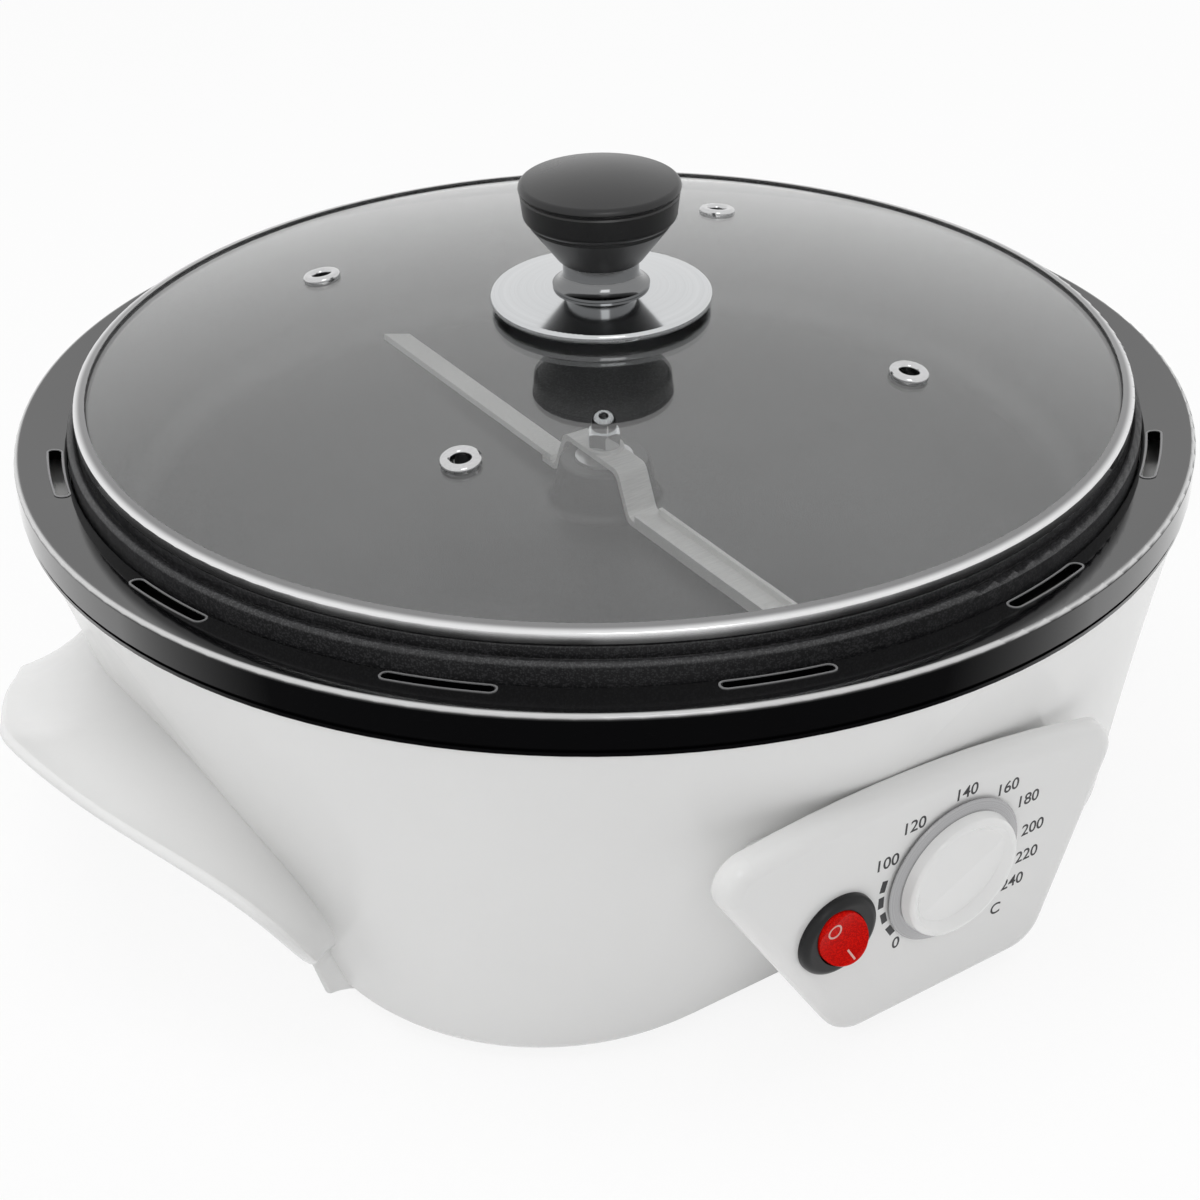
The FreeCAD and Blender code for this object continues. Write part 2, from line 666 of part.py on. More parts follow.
def heat_shield():
    """Thin steel bowl under the pan, hung from the housing's flange."""
    t = SHIELD_SKIN
    bowl = turned(
        (SHIELD_RIM_R, FLANGE_Z), (SHIELD_WALL_R, FLANGE_Z), (138.0, -30.0),
        (122.0, SHIELD_FLOOR), (13.0, SHIELD_FLOOR), (13.0, SHIELD_FLOOR - t),
        (122.6, SHIELD_FLOOR - t), (138.8, -30.3), (SHIELD_WALL_R + t, FLANGE_Z - t),
        (SHIELD_RIM_R, FLANGE_Z - t),
    )
    holes = around(cylinder(2.2, FLANGE_Z - 3, FLANGE_Z + 1, TIE_R, 0), 4, TIE_PHASE)
    holes += around(cylinder(STUD_R + 0.2, SHIELD_FLOOR - 3, SHIELD_FLOOR + 1, STUD_CIRCLE, 0), 3, 30)
    half = math.radians(HEATER_GAP / 2)
    reach = HEATER_R * math.sin(half) - HEATER_ELBOW * math.cos(half)
    back = HEATER_R * math.cos(half) + HEATER_ELBOW * math.sin(half)
    holes += [cylinder(6.0, SHIELD_FLOOR - 3, SHIELD_FLOOR + 1, s * reach, back) for s in (1, -1)]
    holes.append(cylinder(4.0, SHIELD_FLOOR - 3, SHIELD_FLOOR + 1, *CAPILLARY_HOLE))
    return bowl.cut(holes)


def pan_studs():
    stud = cylinder(STUD_R, SHIELD_FLOOR - 8, PAN_FLOOR - PAN_SKIN, STUD_CIRCLE, 0)
    return Part.makeCompound(around(stud, 3, 30))


def stud_nuts():
    top = SHIELD_FLOOR - SHIELD_SKIN
    nut = hexagon(7.0, top - 3.2, top).cut(cylinder(STUD_R, top - 5, top + 1))
    return Part.makeCompound([spun(shifted(nut, STUD_CIRCLE, 0, 0), 30 + 120 * i) for i in range(3)])


def thermal_cutout():
    """Snap-disc cut-out with its aluminium cap against the pan's underside."""
    top = PAN_FLOOR - PAN_SKIN
    can = turned((0, top), (7.0, top), (7.0, top - 3), (8.0, top - 3), (8.0, top - 8), (0, top - 8))
    ears = block(-15, 15, -4, 4, top - 3.6, top - 3)
    ears = ears.cut([cylinder(1.7, top - 5, top, s * 12, 0) for s in (1, -1)])
    blades = [block(s * 4 - 0.4, s * 4 + 0.4, -3, 3, top - 14, top - 8) for s in (1, -1)]
    return shifted(can.fuse([ears] + blades).removeSplitter(), -46, -20, 0)


def thermostat_bulb():
    """Sensing bulb of the thermostat, lying under the pan."""
    z = PAN_FLOOR - PAN_SKIN - BULB_R - 0.05
    bulb = Part.makeCylinder(BULB_R, BULB_LENGTH, V(-40, BULB_Y, z), V(1, 0, 0))
    return bulb.makeFillet(1.2, bulb.Edges)


def capillary_tube():
    """Thin tube from the bulb through the heat shield to the thermostat."""
    x, y = CAPILLARY_HOLE
    z = PAN_FLOOR - PAN_SKIN - BULB_R - 0.05
    depth = PANEL_SKIN + STAT_DEPTH
    end = panel_frame().multVec(V(KNOB_U + 6, KNOB_V - 5, -depth))
    before = panel_frame().multVec(V(KNOB_U + 6, KNOB_V - 5, -depth - 16))
    points = [
        V(BULB_LENGTH - 40, y, z), V(x, y, z), V(x, y, before.z), V(x, before.y, before.z), before, end,
    ]
    return round_bar(rounded_path(points, 5.0), 1.0)


# --- drive --------------------------------------------------------------------------------
def gear_motor():
    top = MOTOR_TOP
    low = top - MOTOR_HEIGHT
    case = turned(
        (0, low), (MOTOR_R - 2, low), bend(MOTOR_R - 2, low + 2, 2, -90, 0), (MOTOR_R, top - 12),
        (MOTOR_R - 1, top - 11), (MOTOR_R - 1, top - 2), bend(MOTOR_R - 3, top - 2, 2, 0, 90),
        (10, top), (10, top + 2.5), (SHAFT_R + 0.05, top + 2.5), (SHAFT_R + 0.05, top - 14),
        (0, top - 14),
    )
    terminals = block(MOTOR_R - 4, MOTOR_R + 7, -8, 8, low + 5, low + 15)
    ears = [tube(1.9, 4.5, top - 2.5, top, 0, s * (MOTOR_R + 3)) for s in (1, -1)]
    lugs = [block(-4.5, 4.5, min(s * 26, s * 31.5), max(s * 26, s * 31.5), top - 2.5, top)
            for s in (1, -1)]
    lugs = [lug.cut(cylinder(1.9, top - 5, top + 1, 0, s * (MOTOR_R + 3)))
            for lug, s in zip(lugs, (1, -1))]
    return case.fuse([terminals] + ears + lugs).removeSplitter()


def motor_bracket():
    """Bridge of bent steel that carries the motor over the base plate."""
    t = 2.0
    side = BRACKET_FOOT_Y - 10
    strip = bent_strip([
        (-BRACKET_FOOT_Y, PLATE_TOP + t / 2), (-side, PLATE_TOP + t / 2),
        (-side + 4, BRACKET_TOP - t / 2), (side - 4, BRACKET_TOP - t / 2),
        (side, PLATE_TOP + t / 2), (BRACKET_FOOT_Y, PLATE_TOP + t / 2),
    ], t, 34.0)
    holes = [cylinder(10.1, MOTOR_TOP - 1, BRACKET_TOP + 1)]
    for s in (1, -1):
        holes.append(cylinder(1.9, MOTOR_TOP - 1, BRACKET_TOP + 1, 0, s * (MOTOR_R + 3)))
        holes.append(cylinder(2.1, PLATE_TOP - 1, PLATE_TOP + 4, 0, s * (BRACKET_FOOT_Y - 5)))
    return strip.cut(holes)


def motor_screws():
    piece = shifted(screw(1.8, 8.0, 3.4, 2.2), 0, MOTOR_R + 3, BRACKET_TOP)
    return Part.makeCompound([piece, spun(piece, 180)])


def bracket_screws():
    piece = shifted(screw(2.0, 4.4, 3.8, 2.4), 0, BRACKET_FOOT_Y - 5, PLATE_TOP + 2.0)
    return Part.makeCompound([piece, spun(piece, 180)])


def motor_shaft():
    return cylinder(SHAFT_R, MOTOR_TOP - 13, (COUPLING_LOW + COUPLING_HIGH) / 2)


def drive_coupling():
    """Sleeve that joins the motor's shaft to the drive shaft, with two screw holes."""
    sleeve = tube(SHAFT_R, COUPLING_R, COUPLING_LOW, COUPLING_HIGH)
    holes = [Part.makeCylinder(1.6, 12, V(0, 0, z), V(1, 0, 0)) for z in GRUB_Z]
    return sleeve.cut(holes)


def grub_screws():
    pieces = [Part.makeCylinder(1.5, 4.2, V(SHAFT_R, 0, z), V(1, 0, 0)) for z in GRUB_Z]
    return Part.makeCompound(pieces)


def drive_shaft():
    middle = (COUPLING_LOW + COUPLING_HIGH) / 2
    return turned(
        (0, middle), (SHAFT_R, middle), (SHAFT_R, PLATE_Z), (THREAD_R, PLATE_Z),
        (THREAD_R, NUT_FOOT + 7.4), (THREAD_R - 0.8, NUT_FOOT + 8.2), (0, NUT_FOOT + 8.2),
    )


def stirrer():
    """Bent strip: hub plate over the pan's hub, a channel arm and a tilted scraper arm."""
    z_top = PLATE_Z + STRIP / 2
    z_arm = ARM_Z + STRIP / 2
    bend_y = HUB_HALF + RISER
    strip = bent_strip([
        (-ARM_REACH, z_arm), (-bend_y, z_arm), (-HUB_HALF, z_top), (HUB_HALF, z_top),
        (bend_y, z_arm), (bend_y + 7, z_arm),
    ], STRIP, STRIP_WIDTH, 3.2)
    edges = [block(x, x + 1.2, -ARM_REACH, -bend_y - 3, ARM_Z, ARM_Z + 3.6)
             for x in (-STRIP_WIDTH / 2, STRIP_WIDTH / 2 - 1.2)]
    scraper = block(-STRIP_WIDTH / 2, STRIP_WIDTH / 2, bend_y + 3, ARM_REACH, -STRIP / 2, STRIP / 2)
    scraper = shifted(spun(scraper, 14, ORIGIN, V(0, 1, 0)), 0, 0, z_arm + 0.8)
    bar = strip.fuse(edges + [scraper]).cut(cylinder(THREAD_R + 0.1, PLATE_Z - 1, PLATE_Z + 3))
    return spun(bar.removeSplitter(), STIRRER_ANGLE)


def stirrer_washer():
    return tube(THREAD_R + 0.1, 5.4, PLATE_Z + STRIP, NUT_FOOT)


def acorn_nut():
    """Hexagon nut with a domed cap."""
    base = hexagon(8.4, NUT_FOOT, NUT_FOOT + 4.6)
    cone = turned((0, NUT_FOOT), (4.3, NUT_FOOT), (5.2, NUT_FOOT + 0.9), (5.2, NUT_FOOT + 3.6),
                  (4.2, NUT_FOOT + 4.6), (0, NUT_FOOT + 4.6))
    dome_z = NUT_FOOT + 6.6
    dome = turned(
        (0, NUT_FOOT + 4), (3.5, NUT_FOOT + 4), (3.5, dome_z),
        bend(0, dome_z, 3.5, 0, 90), (0, NUT_FOOT + 4),
    )
    thread = turned(
        (0, NUT_FOOT - 1), (THREAD_R + 0.02, NUT_FOOT - 1), (THREAD_R + 0.02, NUT_FOOT + 7.4),
        (THREAD_R - 0.78, NUT_FOOT + 8.3), (0, NUT_FOOT + 8.3),
    )
    return base.common(cone).fuse(dome).cut(thread).removeSplitter()


# --- base ---------------------------------------------------------------------------------
def base_plate():
    """Bottom cover with air slots, let into the housing, and a tongue under the panel."""
    low = PLATE_TOP - PLATE_THICK
    inset = WALL + PLATE_GAP
    wire = round_rect(HOUSE_BASE_X - inset, HOUSE_BASE_Y - inset, HOUSE_CORNER_R - inset, low)
    plate = Part.Face(wire).extrude(V(0, 0, PLATE_THICK))
    inset = PANEL_STEP + WALL + TONGUE_GAP
    left = panel_side(PANEL_FOOT_LEFT, PANEL_TOP_LEFT, inset)
    right = panel_side(PANEL_FOOT_RIGHT, PANEL_TOP_RIGHT, inset)
    front = PANEL_FOOT_Y + PANEL_SKIN + TONGUE_GAP
    plate = plate.fuse(block(left, right, front, -BOSS_Y, low, PLATE_TOP)).removeSplitter()
    slot = block(-17, 17, -1.6, 1.6, low - 1, PLATE_TOP + 1)
    holes = [shifted(slot, s * 66, (i - (VENT_SLOTS - 1) / 2) * VENT_PITCH, 0)
             for s in (1, -1) for i in range(VENT_SLOTS)]
    holes += four_corners(cylinder(1.9, low - 1, PLATE_TOP + 1), BOSS_X, BOSS_Y)
    holes += four_corners(cylinder(1.9, low - 1, PLATE_TOP + 1), FOOT_X, FOOT_Y)
    holes += [cylinder(2.0, low - 1, PLATE_TOP + 1, 0, s * (BRACKET_FOOT_Y - 5)) for s in (1, -1)]
    holes += [cylinder(1.6, low - 1, PLATE_TOP + 1, BLOCK_X + s * 14, BLOCK_Y) for s in (1, -1)]
    return plate.cut(holes)


def rubber_foot():
    """Round foot with a screw well, drawn about Z."""
    top = PLATE_TOP - PLATE_THICK
    return turned(
        (2.1, top), (FOOT_R, top), (FOOT_R, FOOT_TIP + 1.2),
        bend(FOOT_R - 1.2, FOOT_TIP + 1.2, 1.2, 0, -90), (4.2, FOOT_TIP), (4.2, top - 1.8),
        (2.1, top - 1.8),
    )


def foot_screws():
    head_z = PLATE_TOP - PLATE_THICK - 1.8
    piece = shifted(inverted(screw(1.8, 5.6, 3.8, 2.2)), 0, 0, head_z)
    return Part.makeCompound(four_corners(piece, FOOT_X, FOOT_Y))


def base_screws():
    piece = shifted(inverted(screw(1.65, 14.0, 3.6, 2.0)), 0, 0, PLATE_TOP - PLATE_THICK)
    return Part.makeCompound(four_corners(piece, BOSS_X, BOSS_Y))


def tie_screws():
    """Screws through the heat shield and the housing's flange into the trim ring."""
    piece = shifted(inverted(screw(1.55, 10.0, 3.2, 2.2)), TIE_R, 0, FLANGE_Z - SHIELD_SKIN)
    return Part.makeCompound(around(piece, 4, TIE_PHASE))


def terminal_block():
    """Ceramic block with three ways."""
    z = PLATE_TOP
    body = block(-18, 18, -8, 8, z, z + 12)
    body = body.cut([cylinder(2.4, z + 4, z + 13, x, 0) for x in (-9, 0, 9)])
    body = body.cut([Part.makeCylinder(2.0, 20, V(x, -10, z + 4), V(0, 1, 0)) for x in (-9, 0, 9)])
    body = body.cut([cylinder(1.6, z - 1, z + 13, s * 14, 0) for s in (1, -1)])
    return shifted(body, BLOCK_X, BLOCK_Y, 0)


def block_screws():
    piece = shifted(screw(1.5, 15.0, 2.8, 1.8), BLOCK_X, BLOCK_Y, PLATE_TOP + 12.0)
    return Part.makeCompound([shifted(piece, s * 14, 0, 0) for s in (1, -1)])


def gland_place(shape):
    """Move a shape drawn about Z to the rear wall, with Z along the wall's normal."""
    rise = house_size(GLAND_Z + 1)[1] - house_size(GLAND_Z - 1)[1]
    slope = math.degrees(math.atan2(rise, 2.0))
    copy = spun(shape, -90 - slope, ORIGIN, V(1, 0, 0))
    copy.translate(V(0, house_size(GLAND_Z)[1], GLAND_Z))
    return copy


def cord_gland():
    """Rubber gland for the supply cord in the rear wall."""
    inner = -WALL * 0.93 - GLAND_SLACK
    piece = turned(
        (GLAND_BORE_R, inner - 3), (10.0, inner - 3), (10.0, inner),
        (GLAND_NECK_R, inner), (GLAND_NECK_R, GLAND_SLACK), (11.0, GLAND_SLACK), (11.0, 1.6), (9.6, 3.0),
        (7.4, 3.4), (6.0, 12.0), (GLAND_BORE_R, 12.0),
    )
    return gland_place(piece)


# --- controls -----------------------------------------------------------------------------
def thermostat_body():
    """Capillary thermostat behind the panel."""
    back = -PANEL_SKIN
    plate = block(-17, 17, -9, 9, back - 1.2, back)
    can = block(-13, 13, -12, 12, back - 14.5, back - 1.2)
    rear = block(-9, 9, -8, 8, back - STAT_DEPTH, back - 14.5)
    blades = [block(-8.0 + 6 * i, -4.0 + 6 * i, -0.4, 0.4, back - 23, back - STAT_DEPTH) for i in range(3)]
    body = plate.fuse([can, rear] + blades)
    body = body.cut(cylinder(3.05, back - 13, back + 1))
    body = body.cut([cylinder(1.65, back - 8, back + 1, s * STAT_SCREW_U, 0) for s in (1, -1)])
    return on_panel(body.removeSplitter(), KNOB_U, KNOB_V)


def thermostat_screws():
    """Fixing screws let into the panel's face under the knob."""
    piece = shifted(screw(1.6, 7.0, STAT_HEAD_R, STAT_HEAD_DEPTH - 0.2), 0, 0, -STAT_HEAD_DEPTH)
    pieces = [on_panel(piece, KNOB_U + s * STAT_SCREW_U, KNOB_V) for s in (1, -1)]
    return Part.makeCompound(pieces)


def thermostat_spindle():
    """Shaft with a flat on its outer end."""
    spindle = cylinder(3.0, -PANEL_SKIN - 12.5, KNOB_GAP + SKIRT_HEIGHT + 1.2)
    flat = block(-4, 4, 1.8, 4, KNOB_GAP + 1.0, 20)
    return on_panel(spindle.cut(flat), KNOB_U, KNOB_V)


def knob_skirt():
    """Grey ring under the knob."""
    g = KNOB_GAP
    ring = turned(
        (4.0, g), (SKIRT_R - 0.6, g), bend(SKIRT_R - 0.6, g + 0.6, 0.6, -90, 0),
        (SKIRT_R - 0.3, g + 0.9), (KNOB_R + 0.6, g + SKIRT_HEIGHT), (4.0, g + SKIRT_HEIGHT),
    )
    return on_panel(ring, KNOB_U, KNOB_V)


def thermostat_knob():
    """Low round knob with a dished top and a shallow ridge across the dish."""
    low, high = KNOB_GAP + SKIRT_HEIGHT, KNOB_GAP + KNOB_HEIGHT
    rounding = 1.2
    knob = turned(
        (0, low), (KNOB_R, low), (KNOB_R - 0.4, high - rounding),
        bend(KNOB_R - 0.4 - rounding, high - rounding, rounding, 0, 90),
        (KNOB_R - 2.2, high), (KNOB_R - 4.8, KNOB_DISH), (0, KNOB_DISH),
    )
    ridge = outline(
        lambda y, z: V(-30, y, z), (-14, low), (14, low), (14, KNOB_DISH), (0, KNOB_CREST), (-14, KNOB_DISH),
    )
    ridge = Part.Face(ridge).extrude(V(60, 0, 0)).common(cylinder(KNOB_R - 3, low, high))
    knob = knob.fuse([ridge, tube(3.0, 3.95, KNOB_GAP, low)])
    bore = cylinder(3.0, -5, low + 1.2).cut(block(-4, 4, 1.8, 4, KNOB_GAP + 1.0, 20))
    knob = spun(knob, 90 + CREST_ANGLE).cut(bore)
    return on_panel(knob.removeSplitter(), KNOB_U, KNOB_V)


def oval(half_long, half_short, low, high):
    """Elliptical prism, long along Y."""
    ellipse = Part.Ellipse(ORIGIN, half_long, half_short).toShape()
    face = Part.Face(Part.Wire(ellipse))
    face.rotate(ORIGIN, UP, 90)
    face.translate(V(0, 0, low))
    return face.extrude(V(0, 0, high - low))


def switch_place(shape):
    return on_panel(spun(shape, SWITCH_TURN), SWITCH_U, SWITCH_V)


def switch_housing():
    """Round snap-in switch: domed bezel, barrel and a pocket for the rocker."""
    body = turned(
        (0, -BARREL_DEPTH), (BARREL_TAIL_R, -BARREL_DEPTH), (SWITCH_BODY_R - 0.1, -ROCKER_POCKET),
        (SWITCH_BODY_R - 0.1, 0), (BEZEL_R, 0), (BEZEL_R, 0.6),
        bend(BEZEL_R - 2.0, 0.6, 2.0, 0, 90), (0, BEZEL_HEIGHT),
    )
    body = body.cut(oval(ROCKER_LONG + ROCKER_SWING_GAP, ROCKER_SHORT + ROCKER_GAP, -ROCKER_POCKET, 10))
    slots = [block(-2.5, 2.5, y - 0.4, y + 0.4, -BARREL_DEPTH - 1, BLADE_TOP) for y in BLADE_Y]
    pivot = Part.makeCylinder(
        PIVOT_R + 0.05, 2 * PIVOT_HALF + 0.4, V(-PIVOT_HALF - 0.2, 0, ROCKER_PIVOT), V(1, 0, 0))
    return switch_place(body.cut(slots + [pivot]))


def switch_terminals():
    blades = [block(-2.4, 2.4, y - 0.4, y + 0.4, BLADE_TOP - 11.0, BLADE_TOP) for y in BLADE_Y]
    return switch_place(Part.makeCompound(blades))


def switch_rocker():
    """Oval rocker with a hollow top, at rest with its upper end pressed in."""
    crest = ROCKER_PIVOT + ROCKER_CREST
    solid = oval(ROCKER_LONG, ROCKER_SHORT, ROCKER_PIVOT - 2.0, crest)
    top = [e for e in solid.Edges if abs(e.CenterOfMass.z - crest) < 1e-3 and e.Length > 10]
    solid = solid.makeFillet(0.9, top)
    hollow_r = 22.0
    hollow = Part.makeCylinder(hollow_r, 20, V(-10, 0, crest + hollow_r - 0.9), V(1, 0, 0))
    pins = Part.makeCylinder(PIVOT_R, 2 * PIVOT_HALF, V(-PIVOT_HALF, 0, ROCKER_PIVOT), V(1, 0, 0))
    rocker = solid.cut(hollow).fuse(pins)
    tilted = spun(rocker, -ROCKER_TILT, V(0, 0, ROCKER_PIVOT), V(1, 0, 0))
    return switch_place(tilted)


# --- lid ----------------------------------------------------------------------------------
def dome_radius():
    """Radius of the sphere through the glass's apex and its edge."""
    drop = GLASS_APEX - GLASS_EDGE
    return (GLASS_EDGE_R ** 2 + drop ** 2) / (2 * drop)


def lid_glass():
    radius = dome_radius()
    centre_z = GLASS_APEX - radius
    edge = math.degrees(math.asin(GLASS_EDGE_R / radius))
    inner = radius - GLASS
    low_z = centre_z + inner * math.cos(math.asin(GLASS_EDGE_R / inner))
    low = math.degrees(math.asin(GLASS_EDGE_R / inner))
    glass = turned(
        (0, GLASS_APEX), bend(0, centre_z, radius, 90, 90 - edge),
        (GLASS_EDGE_R, low_z), bend(0, centre_z, inner, 90 - low, 90),
    )
    holes = [cylinder(3.4, 0, 40)] + [vent_place(cylinder(3.7, -8, 8), i) for i in range(4)]
    return glass.cut(holes)


def vent_place(shape, index):
    """Move a shape drawn about Z onto the glass, along its normal."""
    radius = dome_radius()
    lean = math.degrees(math.asin(VENT_R / radius))
    copy = spun(shape, lean, ORIGIN, V(0, 1, 0))
    height = GLASS_APEX - radius + radius * math.cos(math.radians(lean))
    copy.translate(V(VENT_R, 0, height))
    return spun(copy, VENT_PHASE + 90 * index)


def vent_eyelet(index):
    """Rolled steel eyelet through the glass."""
    piece = turned(
        (2.5, -GLASS - 0.9), (5.0, -GLASS - 0.9), (5.0, -GLASS - 0.1), (3.6, -GLASS - 0.1),
        (3.6, 0.02), (5.2, 0.02), (5.2, 0.3), bend(4.2, 0.3, 1.0, 0, 90), (3.5, 1.3),
        bend(3.5, 0.3, 1.0, 90, 180),
    )
    return vent_place(piece, index)


def lid_rim():
    """Steel channel rolled round the glass's edge."""
    t, edge_r, inner_r = LID_RIM_SHEET, LID_R - 0.8, 137.3
    rise = (edge_r - inner_r) * GLASS_EDGE_R / dome_radius()
    skin_r = LID_R - t
    return turned(
        (inner_r, LID_RIM_HIGH + rise), (edge_r, LID_RIM_HIGH),
        bend(edge_r, LID_RIM_HIGH - 0.8, 0.8, 90, 0), (LID_R, LID_RIM_LOW + 0.8),
        bend(edge_r, LID_RIM_LOW + 0.8, 0.8, 0, -90), (inner_r, LID_RIM_LOW + rise),
        (inner_r, LID_RIM_LOW + rise + t), (edge_r, LID_RIM_LOW + t), (skin_r, LID_RIM_LOW + 0.95),
        (skin_r, LID_RIM_HIGH - 0.95), (edge_r, LID_RIM_HIGH - t), (inner_r, LID_RIM_HIGH + rise - t),
    )


def knob_disc():
    """Chrome disc on the glass under the knob."""
    return turned(
        (SCREW_R + 0.2, DISC_LOW), (12.0, DISC_LOW), (28.6, 28.6),
        bend(28.4, 29.6, 1.0, -78, 0), (29.4, 30.2), bend(28.4, 30.2, 1.0, 0, 84),
        (13.0, DISC_TOP - 0.1), (12.0, DISC_TOP), (SCREW_R + 0.2, DISC_TOP),
    )


def knob_neck():
    """Chrome neck that flares onto the disc."""
    return turned(
        (SCREW_R + 0.2, DISC_TOP), (12.9, DISC_TOP), (12.9, DISC_TOP + 0.7),
        ((10.9, 34.9), (10.1, 37.4)), (10.1, NECK_TOP), (SCREW_R + 0.2, NECK_TOP),
    )


def lid_knob():
    """Waisted black knob with a domed cap."""
    return turned(
        (0, 52.0), (SCREW_R + 0.05, 52.0), (SCREW_R + 0.05, NECK_TOP), (11.0, NECK_TOP),
        (11.7, NECK_TOP + 0.7), (18.6, 50.4), (19.0, 51.6), ((19.9, 52.2), (20.3, 53.2)),
        (20.9, 58.4), (20.6, 58.9), (21.1, 59.4), (21.3, 60.2), ((20.9, 61.2), (19.8, 61.8)),
        domed(19.8, 61.8, 64.2),
    )


def lid_gasket():
    return tube(SCREW_R + 0.1, 12.0, GLASS_UNDER - GASKET - 0.15, GLASS_UNDER - 0.15)


def lid_washer():
    top = GLASS_UNDER - GASKET - 0.15
    return tube(SCREW_R + 0.1, 10.0, top - WASHER, top)


def lid_screw():
    piece = inverted(screw(SCREW_R, 26.0, 5.4, 3.0))
    return shifted(piece, 0, 0, GLASS_UNDER - GASKET - WASHER - 0.15)


# --- build --------------------------------------------------------------------------------
def build():
    os.makedirs("parts", exist_ok=True)
    makers = (
        housing_shell, trim_ring, pan, shaft_bush, heating_element, heater_clamps, heat_shield,
        pan_studs, stud_nuts, thermal_cutout, thermostat_bulb, capillary_tube, gear_motor, motor_bracket,
        motor_screws, bracket_screws, motor_shaft, drive_coupling, grub_screws, drive_shaft,
        stirrer, stirrer_washer, acorn_nut, base_plate, foot_screws, base_screws, tie_screws,
        terminal_block, block_screws, cord_gland, thermostat_body, thermostat_screws,
        thermostat_spindle, knob_skirt, thermostat_knob, switch_housing, switch_terminals,
        switch_rocker, lid_glass, lid_rim, knob_disc, knob_neck, lid_knob, lid_gasket,
        lid_washer, lid_screw,
    )
    for maker in makers:
        save(maker.__name__, maker())
    for index, (side, end) in enumerate(((1, -1), (-1, -1), (1, 1), (-1, 1))):
        save(f"rubber_foot_{index + 1}", shifted(rubber_foot(), side * FOOT_X, end * FOOT_Y, 0))
    for index in range(4):
        save(f"vent_eyelet_{index + 1}", vent_eyelet(index))


build()
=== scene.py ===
"""Looks of a countertop coffee roaster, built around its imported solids.

Each sub-assembly is a class that makes its own small pieces and dresses its nodes.
Sizes are in metres, and names that end in _mm are in millimetres.
"""

import logging
import math
from dataclasses import dataclass
from enum import Enum
from typing import Callable, Iterable

import bmesh
import bpy
from mathutils import Matrix, Vector
from mathutils.bvhtree import BVHTree


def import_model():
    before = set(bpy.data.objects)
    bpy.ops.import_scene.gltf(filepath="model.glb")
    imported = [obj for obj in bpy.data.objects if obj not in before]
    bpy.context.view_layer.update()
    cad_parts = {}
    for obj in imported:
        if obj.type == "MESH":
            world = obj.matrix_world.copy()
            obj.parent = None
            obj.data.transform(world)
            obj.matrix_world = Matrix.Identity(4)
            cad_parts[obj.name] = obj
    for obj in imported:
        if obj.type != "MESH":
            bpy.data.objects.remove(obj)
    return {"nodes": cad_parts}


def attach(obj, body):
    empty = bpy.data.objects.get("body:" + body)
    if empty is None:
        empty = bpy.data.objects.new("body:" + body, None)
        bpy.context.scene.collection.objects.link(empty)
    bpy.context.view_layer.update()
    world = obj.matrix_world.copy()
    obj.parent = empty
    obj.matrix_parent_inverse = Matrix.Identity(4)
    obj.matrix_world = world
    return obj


MM = 0.001
FOUR = (1, 2, 3, 4)
LINE_BAND = (0.35, 0.65)  # the part of a noise's values that is spread over 0 to 1
DRIFT_BAND = (0.3, 0.7)
FINE_DETAIL = 4.0
LINE_DETAIL = 3.0
PATCH_DETAIL = 5.0
SLOW_DETAIL = 2.0
SLOW_SHARE = 0.015  # scale of the slow drift against that of the grain
DRAWN_SHARE = 0.03  # scale along drawn lines against that across them
SPECK_FADE = 0.06
Colour = tuple[float, float, float]
Placer = Callable[[float, float, float], Vector]

log = logging.getLogger("roaster")


class Effect(Enum):
    """Surface effects that several finishes share."""

    GRAIN = "moulded_grain"
    TURNED = "turned_lines"
    DRAWN = "drawn_lines"
    SMUDGE = "handling_smudge"
    SPECK = "fine_specks"
    EDGE = "outer_edge"


class Lay(Enum):
    """Which way the fine lines of a metal run."""

    TURNED = Effect.TURNED
    DRAWN = Effect.DRAWN


@dataclass(frozen=True)
class Socket:
    """A named input or output of a node group."""

    name: str
    kind: str = "NodeSocketFloat"
    value: float | None = None


POSITION = Socket("Position", "NodeSocketVector")
SCALE = Socket("Scale", value=100.0)


class Wiring:
    """A node tree while it is being wired."""

    def __init__(self, tree: bpy.types.NodeTree) -> None:
        """Take the tree."""
        self.tree = tree

    def add(self, kind: str, **settings: object) -> bpy.types.Node:
        """Add a node.

        Args:
            kind: Blender's name of the node type.
            **settings: Properties to set on it.

        Returns:
            The new node.
        """
        node = self.tree.nodes.new(kind)
        for name, value in settings.items():
            setattr(node, name, value)
        return node

    def join(self, start: bpy.types.NodeSocket, end: bpy.types.NodeSocket) -> None:
        """Link two sockets."""
        self.tree.links.new(start, end)


